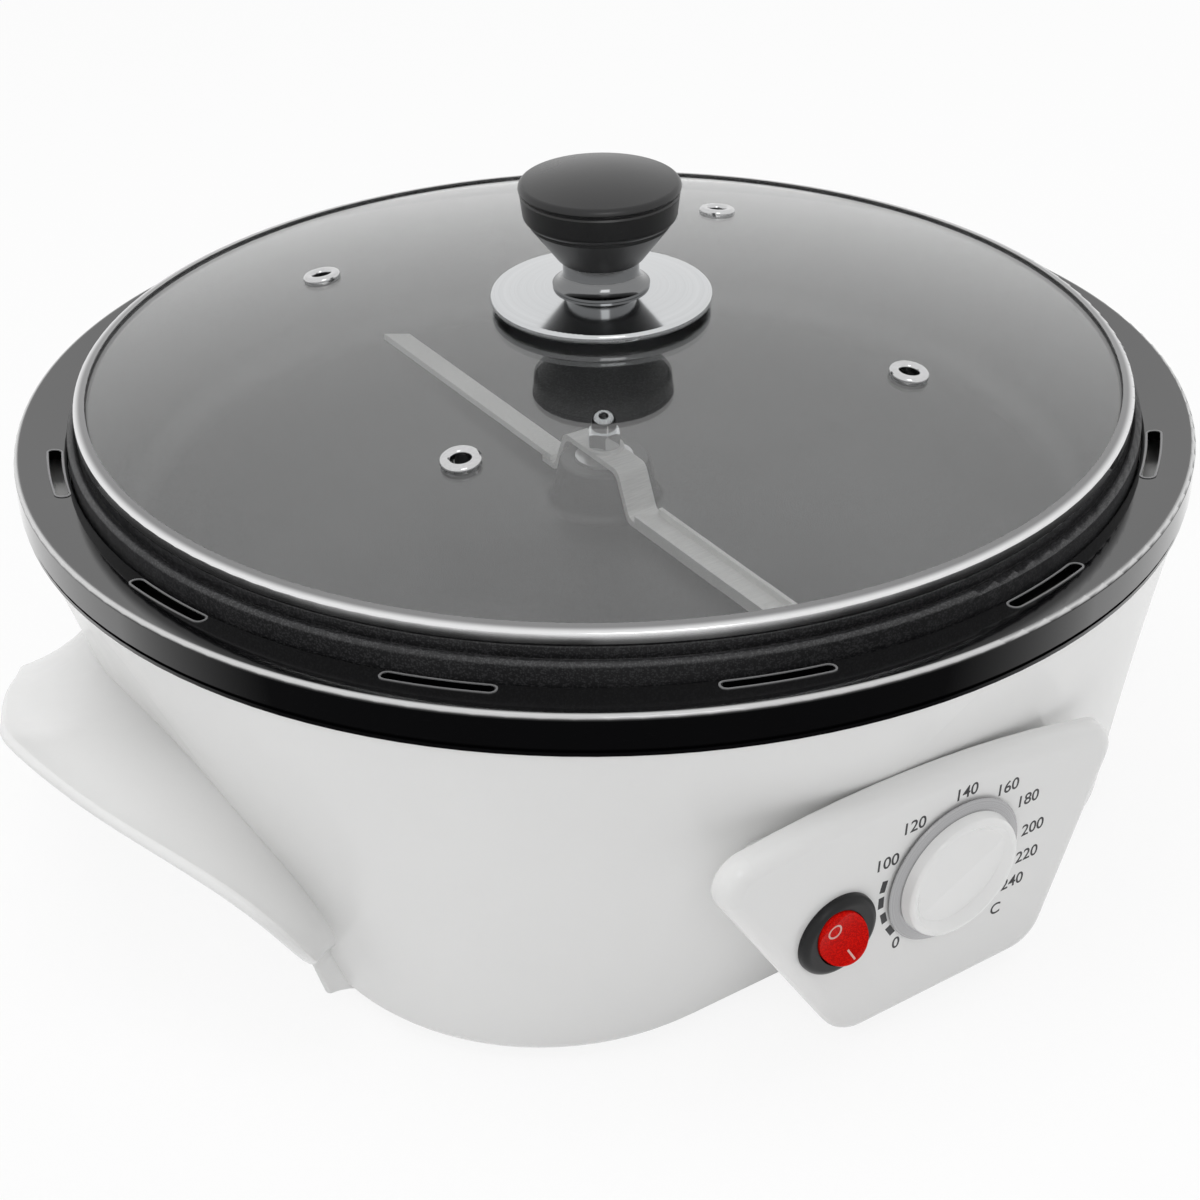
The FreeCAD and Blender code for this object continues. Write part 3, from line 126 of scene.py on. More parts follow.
class GroupBench(Wiring):
    """The tree of one effect while it is being wired."""

    def __init__(self, name: str, inputs: Iterable[Socket], outputs: Iterable[Socket]) -> None:
        """Make the tree with its sockets.

        Args:
            name: Name of the node group.
            inputs: Sockets that a finish sets or feeds.
            outputs: Sockets that a finish reads.
        """
        super().__init__(bpy.data.node_groups.new(name, "ShaderNodeTree"))
        for sockets, way in ((inputs, "INPUT"), (outputs, "OUTPUT")):
            for socket in sockets:
                made = self.tree.interface.new_socket(socket.name, in_out=way, socket_type=socket.kind)
                if socket.value is not None:
                    made.default_value = socket.value
        self.source = self.add("NodeGroupInput")
        self.sink = self.add("NodeGroupOutput")

    def math(self, operation: str, first: object, second: object = None) -> bpy.types.NodeSocket:
        """Add a math node.

        Args:
            operation: Blender's name of the operation.
            first: A socket or a number.
            second: A socket or a number, where the operation takes two.

        Returns:
            The result's socket.
        """
        node = self.add("ShaderNodeMath", operation=operation)
        for place, value in zip(node.inputs, (first, second)):
            if isinstance(value, bpy.types.NodeSocket):
                self.join(value, place)
            elif value is not None:
                place.default_value = value
        return node.outputs[0]

    def polar(self) -> tuple[bpy.types.NodeSocket, bpy.types.NodeSocket]:
        """Return the position's distance from its own Z axis, and its Z."""
        parts = self.add("ShaderNodeSeparateXYZ")
        self.join(self.source.outputs["Position"], parts.inputs[0])
        x_square = self.math("MULTIPLY", parts.outputs[0], parts.outputs[0])
        y_square = self.math("MULTIPLY", parts.outputs[1], parts.outputs[1])
        return self.math("SQRT", self.math("ADD", x_square, y_square)), parts.outputs[2]

    def noise(self, where: bpy.types.NodeSocket, scale: object, detail: float) -> bpy.types.NodeSocket:
        """Add a noise texture.

        Args:
            where: Position to sample.
            scale: Repeats per metre, a socket or a number.
            detail: Number of finer layers.

        Returns:
            The noise value's socket.
        """
        node = self.add("ShaderNodeTexNoise")
        self.join(where, node.inputs["Vector"])
        if isinstance(scale, bpy.types.NodeSocket):
            self.join(scale, node.inputs["Scale"])
        else:
            node.inputs["Scale"].default_value = scale
        node.inputs["Detail"].default_value = detail
        return node.outputs[0]

    def spread(self, value: bpy.types.NodeSocket, low: float, high: float) -> bpy.types.NodeSocket:
        """Map low..high to 0..1, clamped."""
        node = self.add("ShaderNodeMapRange", interpolation_type="SMOOTHSTEP")
        self.join(value, node.inputs["Value"])
        node.inputs["From Min"].default_value = low
        node.inputs["From Max"].default_value = high
        return node.outputs["Result"]


class Effects:
    """The shared node groups, each built the first time that it is asked for."""

    def __init__(self) -> None:
        """Start with no groups."""
        self._made: dict[Effect, bpy.types.NodeTree] = {}
        self._makers: dict[Effect, Callable[[], bpy.types.NodeTree]] = {
            Effect.GRAIN: self._grain,
            Effect.TURNED: self._turned,
            Effect.DRAWN: self._drawn,
            Effect.SMUDGE: self._smudge,
            Effect.SPECK: self._speck,
            Effect.EDGE: self._edge,
        }

    def get(self, effect: Effect) -> bpy.types.NodeTree:
        """Return the node group of an effect."""
        if effect not in self._made:
            self._made[effect] = self._makers[effect]()
        return self._made[effect]

    @staticmethod
    def _grain() -> bpy.types.NodeTree:
        """Fine moulded grain: Height for a bump, Tone for a slow drift of colour."""
        bench = GroupBench(Effect.GRAIN.value, (POSITION, SCALE), (Socket("Height"), Socket("Tone")))
        where = bench.source.outputs["Position"]
        scale = bench.source.outputs["Scale"]
        bench.join(bench.noise(where, scale, FINE_DETAIL), bench.sink.inputs["Height"])
        slow = bench.noise(where, bench.math("MULTIPLY", scale, SLOW_SHARE), SLOW_DETAIL)
        bench.join(bench.spread(slow, *DRIFT_BAND), bench.sink.inputs["Tone"])
        return bench.tree

    @staticmethod
    def _turned() -> bpy.types.NodeTree:
        """Fine rings about the position's own Z axis, as a lathe or a spinning tool leaves them."""
        bench = GroupBench(Effect.TURNED.value, (POSITION, SCALE), (Socket("Height"), Socket("Tone")))
        radius, height = bench.polar()
        ring = bench.add("ShaderNodeCombineXYZ")
        bench.join(radius, ring.inputs[0])
        bench.join(height, ring.inputs[1])
        lines = bench.noise(ring.outputs[0], bench.source.outputs["Scale"], LINE_DETAIL)
        bench.join(lines, bench.sink.inputs["Height"])
        bench.join(bench.spread(lines, *LINE_BAND), bench.sink.inputs["Tone"])
        return bench.tree

    @staticmethod
    def _drawn() -> bpy.types.NodeTree:
        """Fine straight lines along the position's own X axis, as rolling and drawing leave them."""
        bench = GroupBench(Effect.DRAWN.value, (POSITION, SCALE), (Socket("Height"), Socket("Tone")))
        stretch = bench.add("ShaderNodeVectorMath", operation="MULTIPLY")
        stretch.inputs[1].default_value = (DRAWN_SHARE, 1.0, 1.0)
        bench.join(bench.source.outputs["Position"], stretch.inputs[0])
        lines = bench.noise(stretch.outputs[0], bench.source.outputs["Scale"], LINE_DETAIL)
        bench.join(lines, bench.sink.inputs["Height"])
        bench.join(bench.spread(lines, *LINE_BAND), bench.sink.inputs["Tone"])
        return bench.tree

    @staticmethod
    def _smudge() -> bpy.types.NodeTree:
        """Broad soft patches between a low and a high value, for roughness."""
        ends = (Socket("Low", value=0.2), Socket("High", value=0.3))
        bench = GroupBench(Effect.SMUDGE.value, (POSITION, SCALE, *ends), (Socket("Value"),))
        given = bench.source.outputs
        patches = bench.noise(given["Position"], given["Scale"], PATCH_DETAIL)
        node = bench.add("ShaderNodeMapRange")
        bench.join(patches, node.inputs["Value"])
        node.inputs["From Min"].default_value, node.inputs["From Max"].default_value = LINE_BAND
        bench.join(given["Low"], node.inputs["To Min"])
        bench.join(given["High"], node.inputs["To Max"])
        bench.join(node.outputs["Result"], bench.sink.inputs["Value"])
        return bench.tree

    @staticmethod
    def _speck() -> bpy.types.NodeTree:
        """Small scattered specks, 1 inside a speck and 0 between them."""
        size = Socket("Size", value=0.25)
        bench = GroupBench(Effect.SPECK.value, (POSITION, SCALE, size), (Socket("Mask"),))
        given = bench.source.outputs
        cells = bench.add("ShaderNodeTexVoronoi")
        bench.join(given["Position"], cells.inputs["Vector"])
        bench.join(given["Scale"], cells.inputs["Scale"])
        pick = bench.add("ShaderNodeSeparateColor")
        bench.join(cells.outputs["Color"], pick.inputs[0])
        reach = bench.math("MULTIPLY", given["Size"], pick.outputs[0])
        inside = bench.math("SUBTRACT", reach, cells.outputs["Distance"])
        bench.join(bench.spread(inside, 0.0, SPECK_FADE), bench.sink.inputs["Mask"])
        return bench.tree

    @staticmethod
    def _edge() -> bpy.types.NodeTree:
        """The top outer edge of a turned part, fading out over Band inwards and over Drop down; it
        places the painted highlights of the trim ring and the lid rim, and the trim ring's clear coat.
        """
        reach = (Socket("Radius", value=0.1), Socket("Band", value=0.005),
                 Socket("Height", value=0.1), Socket("Drop", value=0.001))
        bench = GroupBench(Effect.EDGE.value, (POSITION, *reach), (Socket("Mask"),))
        given = bench.source.outputs
        shares = []
        for place, limit, fade in zip(bench.polar(), ("Radius", "Height"), ("Band", "Drop")):
            short = bench.math("SUBTRACT", given[limit], place)
            shares.append(bench.math("DIVIDE", short, given[fade]))
        far = bench.spread(bench.math("MAXIMUM", *shares), 0.0, 1.0)
        bench.join(bench.math("SUBTRACT", 1.0, far), bench.sink.inputs["Mask"])
        return bench.tree


class Bench(Wiring):
    """One material while it is being wired, with short ways to add what the finishes use."""

    def __init__(self, name: str, effects: Effects) -> None:
        """Start a material with its shader, its output and its position.

        Args:
            name: Name of the material.
            effects: The shared node groups.
        """
        self.effects = effects
        self.material = bpy.data.materials.new(name)
        self.material.use_nodes = True
        super().__init__(self.material.node_tree)
        self.tree.nodes.clear()
        self.shader = self.add("ShaderNodeBsdfPrincipled")
        output = self.add("ShaderNodeOutputMaterial")
        self.join(self.shader.outputs["BSDF"], output.inputs["Surface"])
        self.position = self.add("ShaderNodeTexCoord").outputs["Object"]

    def set(self, **values: object) -> None:
        """Set plain values on the shader, with underscores for the blanks in a socket's name."""
        for name, value in values.items():
            self.shader.inputs[name.replace("_", " ")].default_value = value

    def feed(self, name: str, socket: bpy.types.NodeSocket) -> None:
        """Feed one of the shader's sockets."""
        self.join(socket, self.shader.inputs[name])

    def turn_position(self, place: Vector, axis: Vector) -> None:
        """Measure position from a point, with Z along an axis.

        Args:
            place: The new origin.
            axis: The new Z axis.
        """
        shift = self.add("ShaderNodeVectorMath", operation="SUBTRACT")
        shift.inputs[1].default_value = place
        self.join(self.position, shift.inputs[0])
        turn = self.add("ShaderNodeVectorRotate", rotation_type="EULER_XYZ")
        turn.inputs["Rotation"].default_value = axis.rotation_difference(Vector((0, 0, 1))).to_euler()
        self.join(shift.outputs[0], turn.inputs["Vector"])
        self.position = turn.outputs[0]

    def effect(self, effect: Effect, **values: float) -> bpy.types.Node:
        """Place a shared effect.

        Args:
            effect: Which one.
            **values: Its inputs by name.

        Returns:
            The group node.
        """
        node = self.add("ShaderNodeGroup", node_tree=self.effects.get(effect))
        self.join(self.position, node.inputs["Position"])
        for name, value in values.items():
            node.inputs[name].default_value = value
        return node

    def bump(self, height: bpy.types.NodeSocket, depth: float) -> None:
        """Raise the surface by a height map, whose 1 stands for a depth in metres."""
        node = self.add("ShaderNodeBump")
        node.inputs["Distance"].default_value = depth
        node.inputs["Strength"].default_value = 1.0
        self.join(height, node.inputs["Height"])
        self.feed("Normal", node.outputs[0])

    def grain(self, scale: float, depth: float) -> bpy.types.NodeSocket:
        """Raise a moulded grain and return its slow drift of tone.

        Args:
            scale: Grains per metre.
            depth: Height of the grain in metres.

        Returns:
            The drift's socket.
        """
        node = self.effect(Effect.GRAIN, Scale=scale)
        self.bump(node.outputs["Height"], depth)
        return node.outputs["Tone"]

    def roughen(self, patches: float, smooth: float, dull: float) -> None:
        """Let the roughness drift between two values.

        Args:
            patches: Patches per metre.
            smooth: The least roughness.
            dull: The greatest roughness.
        """
        smudge = self.effect(Effect.SMUDGE, Scale=patches, Low=smooth, High=dull)
        self.feed("Roughness", smudge.outputs["Value"])

    def blend(self, mask: bpy.types.NodeSocket, low: Colour, high: Colour) -> None:
        """Colour the surface between two colours by a mask."""
        node = self.add("ShaderNodeMix", data_type="RGBA")
        self.join(mask, node.inputs[0])
        node.inputs[6].default_value = (*low, 1.0)
        node.inputs[7].default_value = (*high, 1.0)
        self.feed("Base Color", node.outputs[2])


def shade(colour: Colour, share: float) -> Colour:
    """Return a colour made lighter or darker by a share."""
    return (colour[0] * share, colour[1] * share, colour[2] * share)


@dataclass(frozen=True)
class Moulding:
    """A moulded plastic or rubber."""

    slot: str
    colour: Colour
    smooth: float
    dull: float
    grain: float = 1400.0
    depth: float = 0.00002
    drift: float = 0.03
    specular: float = 0.5
    patches: float = 14.0

    def make(self, effects: Effects) -> bpy.types.Material:
        """Wire the material.

        Args:
            effects: The shared node groups.

        Returns:
            The material.
        """
        bench = Bench(self.slot, effects)
        tone = bench.grain(self.grain, self.depth)
        bench.blend(tone, shade(self.colour, 1 - self.drift), self.colour)
        bench.roughen(self.patches, self.smooth, self.dull)
        bench.set(Specular_IOR_Level=self.specular)
        return bench.material


@dataclass(frozen=True)
class GlossyRing:
    """Polished black plastic of a ring: glossy at low angles and along its outer edge, with a light
    line painted along that edge as a highlight.
    """

    slot: str
    colour: Colour
    smooth: float
    dull: float
    specular: float
    painted_highlight_colour: Colour
    painted_highlight_line: dict[str, float]
    edge_gloss: dict[str, float]
    low_angle: tuple[float, float]
    coat_ior: float = 1.9
    coat_rough: float = 0.07
    view_ior: float = 1.5
    grain: float = 1400.0
    depth: float = 0.000004
    patches: float = 14.0

    def make(self, effects: Effects) -> bpy.types.Material:
        """Wire the material.

        Args:
            effects: The shared node groups.

        Returns:
            The material.
        """
        bench = Bench(self.slot, effects)
        bench.grain(self.grain, self.depth)
        # Painted highlight: a light grey line painted along the ring's top outer edge.
        line = bench.effect(Effect.EDGE, **self.painted_highlight_line)
        bench.blend(line.outputs["Mask"], self.colour, self.painted_highlight_colour)
        bench.roughen(self.patches, self.smooth, self.dull)
        bench.feed("Coat Weight", self._gloss(bench))
        bench.set(Specular_IOR_Level=self.specular)
        bench.set(Coat_IOR=self.coat_ior, Coat_Roughness=self.coat_rough)
        return bench.material

    def _gloss(self, bench: Bench) -> bpy.types.NodeSocket:
        """Return how much clear coat shows: where the view is low, or along the outer edge.

        Args:
            bench: The material being wired.

        Returns:
            The weight's socket.
        """
        fresnel = bench.add("ShaderNodeFresnel")
        fresnel.inputs["IOR"].default_value = self.view_ior
        ramp = bench.add("ShaderNodeMapRange")
        ramp.inputs["From Min"].default_value, ramp.inputs["From Max"].default_value = self.low_angle
        bench.join(fresnel.outputs[0], ramp.inputs["Value"])
        edge = bench.effect(Effect.EDGE, **self.edge_gloss)
        either = bench.add("ShaderNodeMath", operation="MAXIMUM")
        bench.join(ramp.outputs["Result"], either.inputs[0])
        bench.join(edge.outputs["Mask"], either.inputs[1])
        return either.outputs[0]


@dataclass(frozen=True)
class Metal:
    """A bare or plated metal with fine lines from the way it was made; where an edge mask is given, a
    painted highlight at the top outer edge and painted shade away from it take the place of the lines'
    tone.
    """

    slot: str
    colour: Colour
    smooth: float
    dull: float
    lay: Lay = Lay.DRAWN
    lines: float = 5000.0
    depth: float = 0.000004
    drift: float = 0.12
    metallic: float = 1.0
    patches: float = 40.0
    # Mask of a painted highlight along a top outer edge, with painted shade away from it.
    edge: dict[str, float] | None = None
    place: tuple[float, float, float] = (0.0, 0.0, 0.0)
    axis: tuple[float, float, float] = (0.0, 0.0, 1.0)

    def make(self, effects: Effects) -> bpy.types.Material:
        """Wire the material.

        Args:
            effects: The shared node groups.

        Returns:
            The material.
        """
        bench = Bench(self.slot, effects)
        if any(self.place):
            bench.turn_position(Vector(self.place), Vector(self.axis))
        lines = bench.effect(self.lay.value, Scale=self.lines)
        tone = lines.outputs["Tone"]
        # Painted highlight and shade: the edge mask replaces the lines' tone, light at the edge and
        # dark away from it.
        if self.edge:
            tone = bench.effect(Effect.EDGE, **self.edge).outputs["Mask"]
        bench.blend(tone, shade(self.colour, 1 - self.drift), self.colour)
        bench.bump(lines.outputs["Height"], self.depth)
        bench.roughen(self.patches, self.smooth, self.dull)
        bench.set(Metallic=self.metallic)
        return bench.material


@dataclass(frozen=True)
class NonStick:
    """A baked non-stick coating: near black, matte, with fine lighter specks."""

    slot: str
    colour: Colour
    speck_colour: Colour
    smooth: float = 0.36
    dull: float = 0.5
    specks: float = 2400.0
    speck_size: float = 0.8
    grain: float = 2200.0
    depth: float = 0.00006
    patches: float = 18.0

    def make(self, effects: Effects) -> bpy.types.Material:
        """Wire the material.

        Args:
            effects: The shared node groups.

        Returns:
            The material.
        """
        bench = Bench(self.slot, effects)
        specks = bench.effect(Effect.SPECK, Scale=self.specks, Size=self.speck_size)
        bench.blend(specks.outputs["Mask"], self.colour, self.speck_colour)
        bench.grain(self.grain, self.depth)
        bench.roughen(self.patches, self.smooth, self.dull)
        return bench.material


@dataclass(frozen=True)
class ClearGlass:
    """Tempered clear glass with the faint haze of a wiped surface."""

    slot: str
    colour: Colour
    smooth: float = 0.0
    dull: float = 0.03
    ior: float = 1.66
    haze: float = 300.0
    drift: float = 0.02
    patches: float = 9.0

    def make(self, effects: Effects) -> bpy.types.Material:
        """Wire the material.

        Args:
            effects: The shared node groups.

        Returns:
            The material.
        """
        bench = Bench(self.slot, effects)
        tone = bench.effect(Effect.GRAIN, Scale=self.haze).outputs["Tone"]
        bench.blend(tone, shade(self.colour, 1 - self.drift), self.colour)
        bench.roughen(self.patches, self.smooth, self.dull)
        bench.set(Transmission_Weight=1.0, IOR=self.ior)
        return bench.material


@dataclass(frozen=True)
class TintedPlastic:
    """A translucent coloured plastic over a lamp that is off."""

    slot: str
    deep: Colour
    bright: Colour
    smooth: float = 0.3
    dull: float = 0.4
    cells: float = 3600.0
    cell_size: float = 1.1
    grain: float = 1200.0
    depth: float = 0.00003
    patches: float = 60.0
    inner_share: float = 0.1
    inner_reach: Colour = (0.003, 0.0003, 0.0002)
    specular: float = 0.05

    def make(self, effects: Effects) -> bpy.types.Material:
        """Wire the material.

        Args:
            effects: The shared node groups.

        Returns:
            The material.
        """
        bench = Bench(self.slot, effects)
        cells = bench.effect(Effect.SPECK, Scale=self.cells, Size=self.cell_size)
        bench.blend(cells.outputs["Mask"], self.bright, self.deep)
        bench.grain(self.grain, self.depth)
        bench.roughen(self.patches, self.smooth, self.dull)
        bench.set(Subsurface_Weight=self.inner_share, Subsurface_Radius=self.inner_reach)
        bench.set(Subsurface_Scale=1.0, Specular_IOR_Level=self.specular)
        return bench.material


Finish = Moulding | GlossyRing | Metal | NonStick | ClearGlass | TintedPlastic


@dataclass(frozen=True)
class FaceFrame:
    """The control panel's face: u runs to the right, v up the face, out away from it."""

    foot_y_mm: float = -144.5
    foot_z_mm: float = 3.0
    tilt_deg: float = -5.0

    @property
    def up(self) -> Vector:
        """Direction up the face."""
        tilt = math.radians(self.tilt_deg)
        return Vector((0.0, math.sin(tilt), math.cos(tilt)))

    @property
    def out(self) -> Vector:
        """Direction out of the face."""
        tilt = math.radians(self.tilt_deg)
        return Vector((0.0, -math.cos(tilt), math.sin(tilt)))

    def point(self, u_mm: float, v_mm: float, out_mm: float = 0.0) -> Vector:
        """Return a point on or above the face.

        Args:
            u_mm: Distance to the right of the middle.
            v_mm: Distance up the face.
            out_mm: Distance out of the face.

        Returns:
            The point in metres.
        """
        foot = Vector((u_mm, self.foot_y_mm, self.foot_z_mm))
        return (foot + self.up * v_mm + self.out * out_mm) * MM


FACE = FaceFrame()
DIAL_MM = (-2.2, 42.5)

FINISHES: tuple[Finish, ...] = (
    Moulding("housing_plastic", (0.87, 0.87, 0.865), 0.2, 0.27, drift=0.01, depth=0.000008),
    Moulding("base_plastic", (0.80, 0.795, 0.78), 0.42, 0.52, depth=0.00005),
    Moulding("foot_rubber", (0.03, 0.03, 0.03), 0.65, 0.8, depth=0.00006, drift=0.3),
    GlossyRing("trim_plastic", (0.002, 0.002, 0.0024), 0.09, 0.13, specular=0.02,
               # The light grey edge colour is a painted highlight along the ring's top outer edge.
               painted_highlight_colour=(0.6, 0.6, 0.6),
               painted_highlight_line={"Radius": 0.1564, "Band": 0.0008, "Height": 0.1125, "Drop": 0.0006},
               edge_gloss={"Radius": 0.1566, "Band": 0.006, "Height": 0.1124, "Drop": 0.0009},
               low_angle=(0.055, 0.115)),
    # The beads' grey is a painted highlight: they belong to the black trim ring and are painted lighter
    # to show the light along their rims.
    Moulding("bead_painted_highlight", (0.26, 0.26, 0.265), 0.15, 0.22, drift=0.15, depth=0.000004),
    Moulding("switch_black", (0.02, 0.02, 0.021), 0.3, 0.4, specular=0.2, grain=2600.0, drift=0.2),
    Moulding("ceramic_white", (0.82, 0.80, 0.76), 0.6, 0.75, grain=2500.0, depth=0.00005, drift=0.08),
    Moulding("knob_plastic", (0.93, 0.93, 0.925), 0.16, 0.22, drift=0.01, depth=0.000006),
    Moulding("knob_black", (0.006, 0.006, 0.0065), 0.26, 0.34, grain=2600.0, depth=0.00003, drift=0.2),
    Metal("zinc_steel", (0.60, 0.60, 0.61), 0.26, 0.38, drift=0.2),
    Metal("brass", (0.75, 0.58, 0.30), 0.2, 0.32, lay=Lay.TURNED),
    Metal("heater_sheath", (0.20, 0.19, 0.18), 0.4, 0.6, drift=0.4),
    Metal("shield_steel", (0.66, 0.67, 0.68), 0.3, 0.42, drift=0.1),
    Metal("copper", (0.72, 0.42, 0.28), 0.25, 0.4, drift=0.2),
    Metal("motor_case", (0.50, 0.51, 0.52), 0.35, 0.5, lines=900.0, drift=0.15),
    Metal("stirrer_steel", (0.95, 0.94, 0.925), 0.34, 0.48, lines=3500.0, depth=0.00001,
          metallic=0.05),
    Metal("chrome", (0.62, 0.63, 0.64), 0.07, 0.12, lay=Lay.TURNED, depth=0.0000006, drift=0.06),
    # Chrome painted dark: its low colour stands in for the dark reflection that the knob's neck shows.
    Metal("chrome_painted_dark", (0.20, 0.203, 0.206), 0.07, 0.12, lay=Lay.TURNED, depth=0.0000006, drift=0.06),
    Metal("skirt_metal", (0.40, 0.40, 0.405), 0.16, 0.24, lay=Lay.TURNED, depth=0.000004,
          place=tuple(FACE.point(*DIAL_MM)), axis=tuple(FACE.out)),
    # The lid rim's colour is a painted highlight at its top outer edge, fading to painted shade inwards
    # and down; drift sets how deep that shade is.
    Metal("rim_steel", (0.78, 0.78, 0.785), 0.12, 0.2, lay=Lay.TURNED, depth=0.000003, drift=0.68,
          edge={"Radius": 0.1402, "Band": 0.0018, "Height": 0.1236, "Drop": 0.0024}),
    Metal("eyelet_steel", (0.62, 0.62, 0.625), 0.1, 0.18, depth=0.000002, drift=0.1),
    NonStick("pan_coating", (0.011, 0.011, 0.012), (0.045, 0.045, 0.047)),
    ClearGlass("lid_glass", (0.93, 0.94, 0.94)),
    TintedPlastic("rocker_red", (0.50, 0.002, 0.001), (0.72, 0.005, 0.001)),
    Moulding("dial_ink", (0.035, 0.035, 0.038), 0.45, 0.6, grain=4000.0, drift=0.25, depth=0.000004),
    Moulding("mark_ink", (0.82, 0.50, 0.44), 0.4, 0.5, grain=4000.0, drift=0.1, depth=0.000004),
)


class Paintshop:
    """Makes each finish once and puts it on nodes and pieces."""

    def __init__(self, finishes: Iterable[Finish]) -> None:
        """Wire every finish, each under its slot's name."""
        effects = Effects()
        self.coats = {finish.slot: finish.make(effects) for finish in finishes}

    def paint(self, thing: bpy.types.Object, slot: str) -> None:
        """Put a finish on all of a thing's material slots."""
        if not thing.material_slots:
            thing.data.materials.append(self.coats[slot])
        for place in thing.material_slots:
            place.material = self.coats[slot]


@dataclass(frozen=True)
class Outline:
    """A closed or open line in a plane, in millimetres, that a raised mark follows."""

    points: tuple[tuple[float, float], ...]
    half_width_mm: float
    closed: bool = False

    def sides(self) -> list[tuple[Vector, Vector]]:
        """Return the two side points at each point of the line."""
        count = len(self.points)
        found = []
        for index, point in enumerate(self.points):
            before = self.points[(index - 1) % count if self.closed else max(index - 1, 0)]
            after = self.points[(index + 1) % count if self.closed else min(index + 1, count - 1)]
            along = (Vector(after) - Vector(before)).normalized()
            across = Vector((-along.y, along.x)) * self.half_width_mm
            found.append((Vector(point) - across, Vector(point) + across))
        return found

    def mesh(self, name: str, place: Placer, sunk_mm: float, proud_mm: float) -> bpy.types.Mesh:
        """Make the raised mark.

        Args:
            name: Name of the mesh.
            place: Turns plane coordinates and a height into a point in metres.
            sunk_mm: How far the mark's underside lies below the surface.
            proud_mm: How far its top stands above it.

        Returns:
            The closed mesh.
        """
        rings = []
        for low, high in self.sides():
            rings.append([place(low.x, low.y, -sunk_mm), place(high.x, high.y, -sunk_mm),
                          place(high.x, high.y, proud_mm), place(low.x, low.y, proud_mm)])
        vertices = [tuple(point) for ring in rings for point in ring]
        faces = []
        spans = len(rings) if self.closed else len(rings) - 1
        for span in range(spans):
            near = 4 * span
            far = 4 * ((span + 1) % len(rings))
            for side in range(4):
                after = (side + 1) % 4
                faces.append((near + side, near + after, far + after, far + side))
        if not self.closed:
            last = 4 * (len(rings) - 1)
            faces.append((3, 2, 1, 0))
            faces.append((last, last + 1, last + 2, last + 3))
        mesh = bpy.data.meshes.new(name)
        mesh.from_pydata(vertices, [], faces)
        return mesh


class Surface:
    """A node's surface, found by looking at it along one direction."""

    def __init__(self, node: bpy.types.Object, look: Vector) -> None:
        """Prepare the search.

        Args:
            node: The node, whose mesh is already in place.
            look: Direction of sight, towards the surface.
        """
        mesh = node.data
        self.look = look.normalized()
        self.tree = BVHTree.FromPolygons(
            [vertex.co for vertex in mesh.vertices],
            [tuple(face.vertices) for face in mesh.polygons],
        )

    def point(self, start: Vector, out_mm: float) -> Vector:
        """Return the first point met from a start, moved back by a height in millimetres."""
        return self.tree.ray_cast(start, self.look)[0] - self.look * (out_mm * MM)


def merge(name: str, meshes: Iterable[bpy.types.Mesh]) -> bpy.types.Object:
    """Join meshes into one object at the origin.

    Args:
        name: Name of the object.
        meshes: Meshes whose places are in their vertices.

    Returns:
        The object, linked to the scene.
    """
    whole = bmesh.new()
    for mesh in meshes:
        whole.from_mesh(mesh)
    bmesh.ops.recalc_face_normals(whole, faces=whole.faces)
    data = bpy.data.meshes.new(name)
    whole.to_mesh(data)
    whole.free()
    made = bpy.data.objects.new(name, data)
    bpy.context.scene.collection.objects.link(made)
    return made


@dataclass(frozen=True)
class SubAssembly:
    """Nodes that ride on one body, and what each is made of."""

    title: str
    body: str
    dressing: tuple[tuple[str, tuple[str, ...]], ...] = ()

    def dress(self, nodes: dict[str, bpy.types.Object], shop: Paintshop) -> int:
        """Paint the nodes.

        Args:
            nodes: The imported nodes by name.
            shop: Where the finishes are.

        Returns:
            How many nodes were painted.
        """
        names = [(slot, name) for slot, group in self.dressing for name in group]
        for slot, name in names:
            shop.paint(nodes[name], slot)
            log.info("%s: node %s in %s", self.title, name, slot)
        return len(names)

    def build(self, nodes: dict[str, bpy.types.Object], shop: Paintshop) -> list[bpy.types.Object]:
        """Make the sub-assembly's own pieces. One without any returns an empty list."""
        return []

    def keep(self, piece: bpy.types.Object, slot: str, ink: str, shop: Paintshop) -> bpy.types.Object:
        """Paint a piece and let it ride on the body.

        Args:
            piece: The piece, in place.
            slot: The record's slot for the piece; not used.
            ink: The finish it is painted with.
            shop: Where the finishes are.

        Returns:
            The piece.
        """
        shop.paint(piece, ink)
        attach(piece, self.body)
        log.info("%s: piece %s rides on %s", self.title, piece.name, self.body)
        return piece


@dataclass(frozen=True)
class Housing(SubAssembly):
    """The white shell with its handles and panel, the base, the feet and the gland."""

    title: str = "housing"
    body: str = "housing"
    dressing: tuple[tuple[str, tuple[str, ...]], ...] = (
        ("housing_plastic", ("housing_shell",)),
        ("base_plastic", ("base_plate",)),
        ("foot_rubber", (*(f"rubber_foot_{number}" for number in FOUR), "cord_gland")),
        ("zinc_steel", ("foot_screws", "base_screws", "tie_screws")),
    )


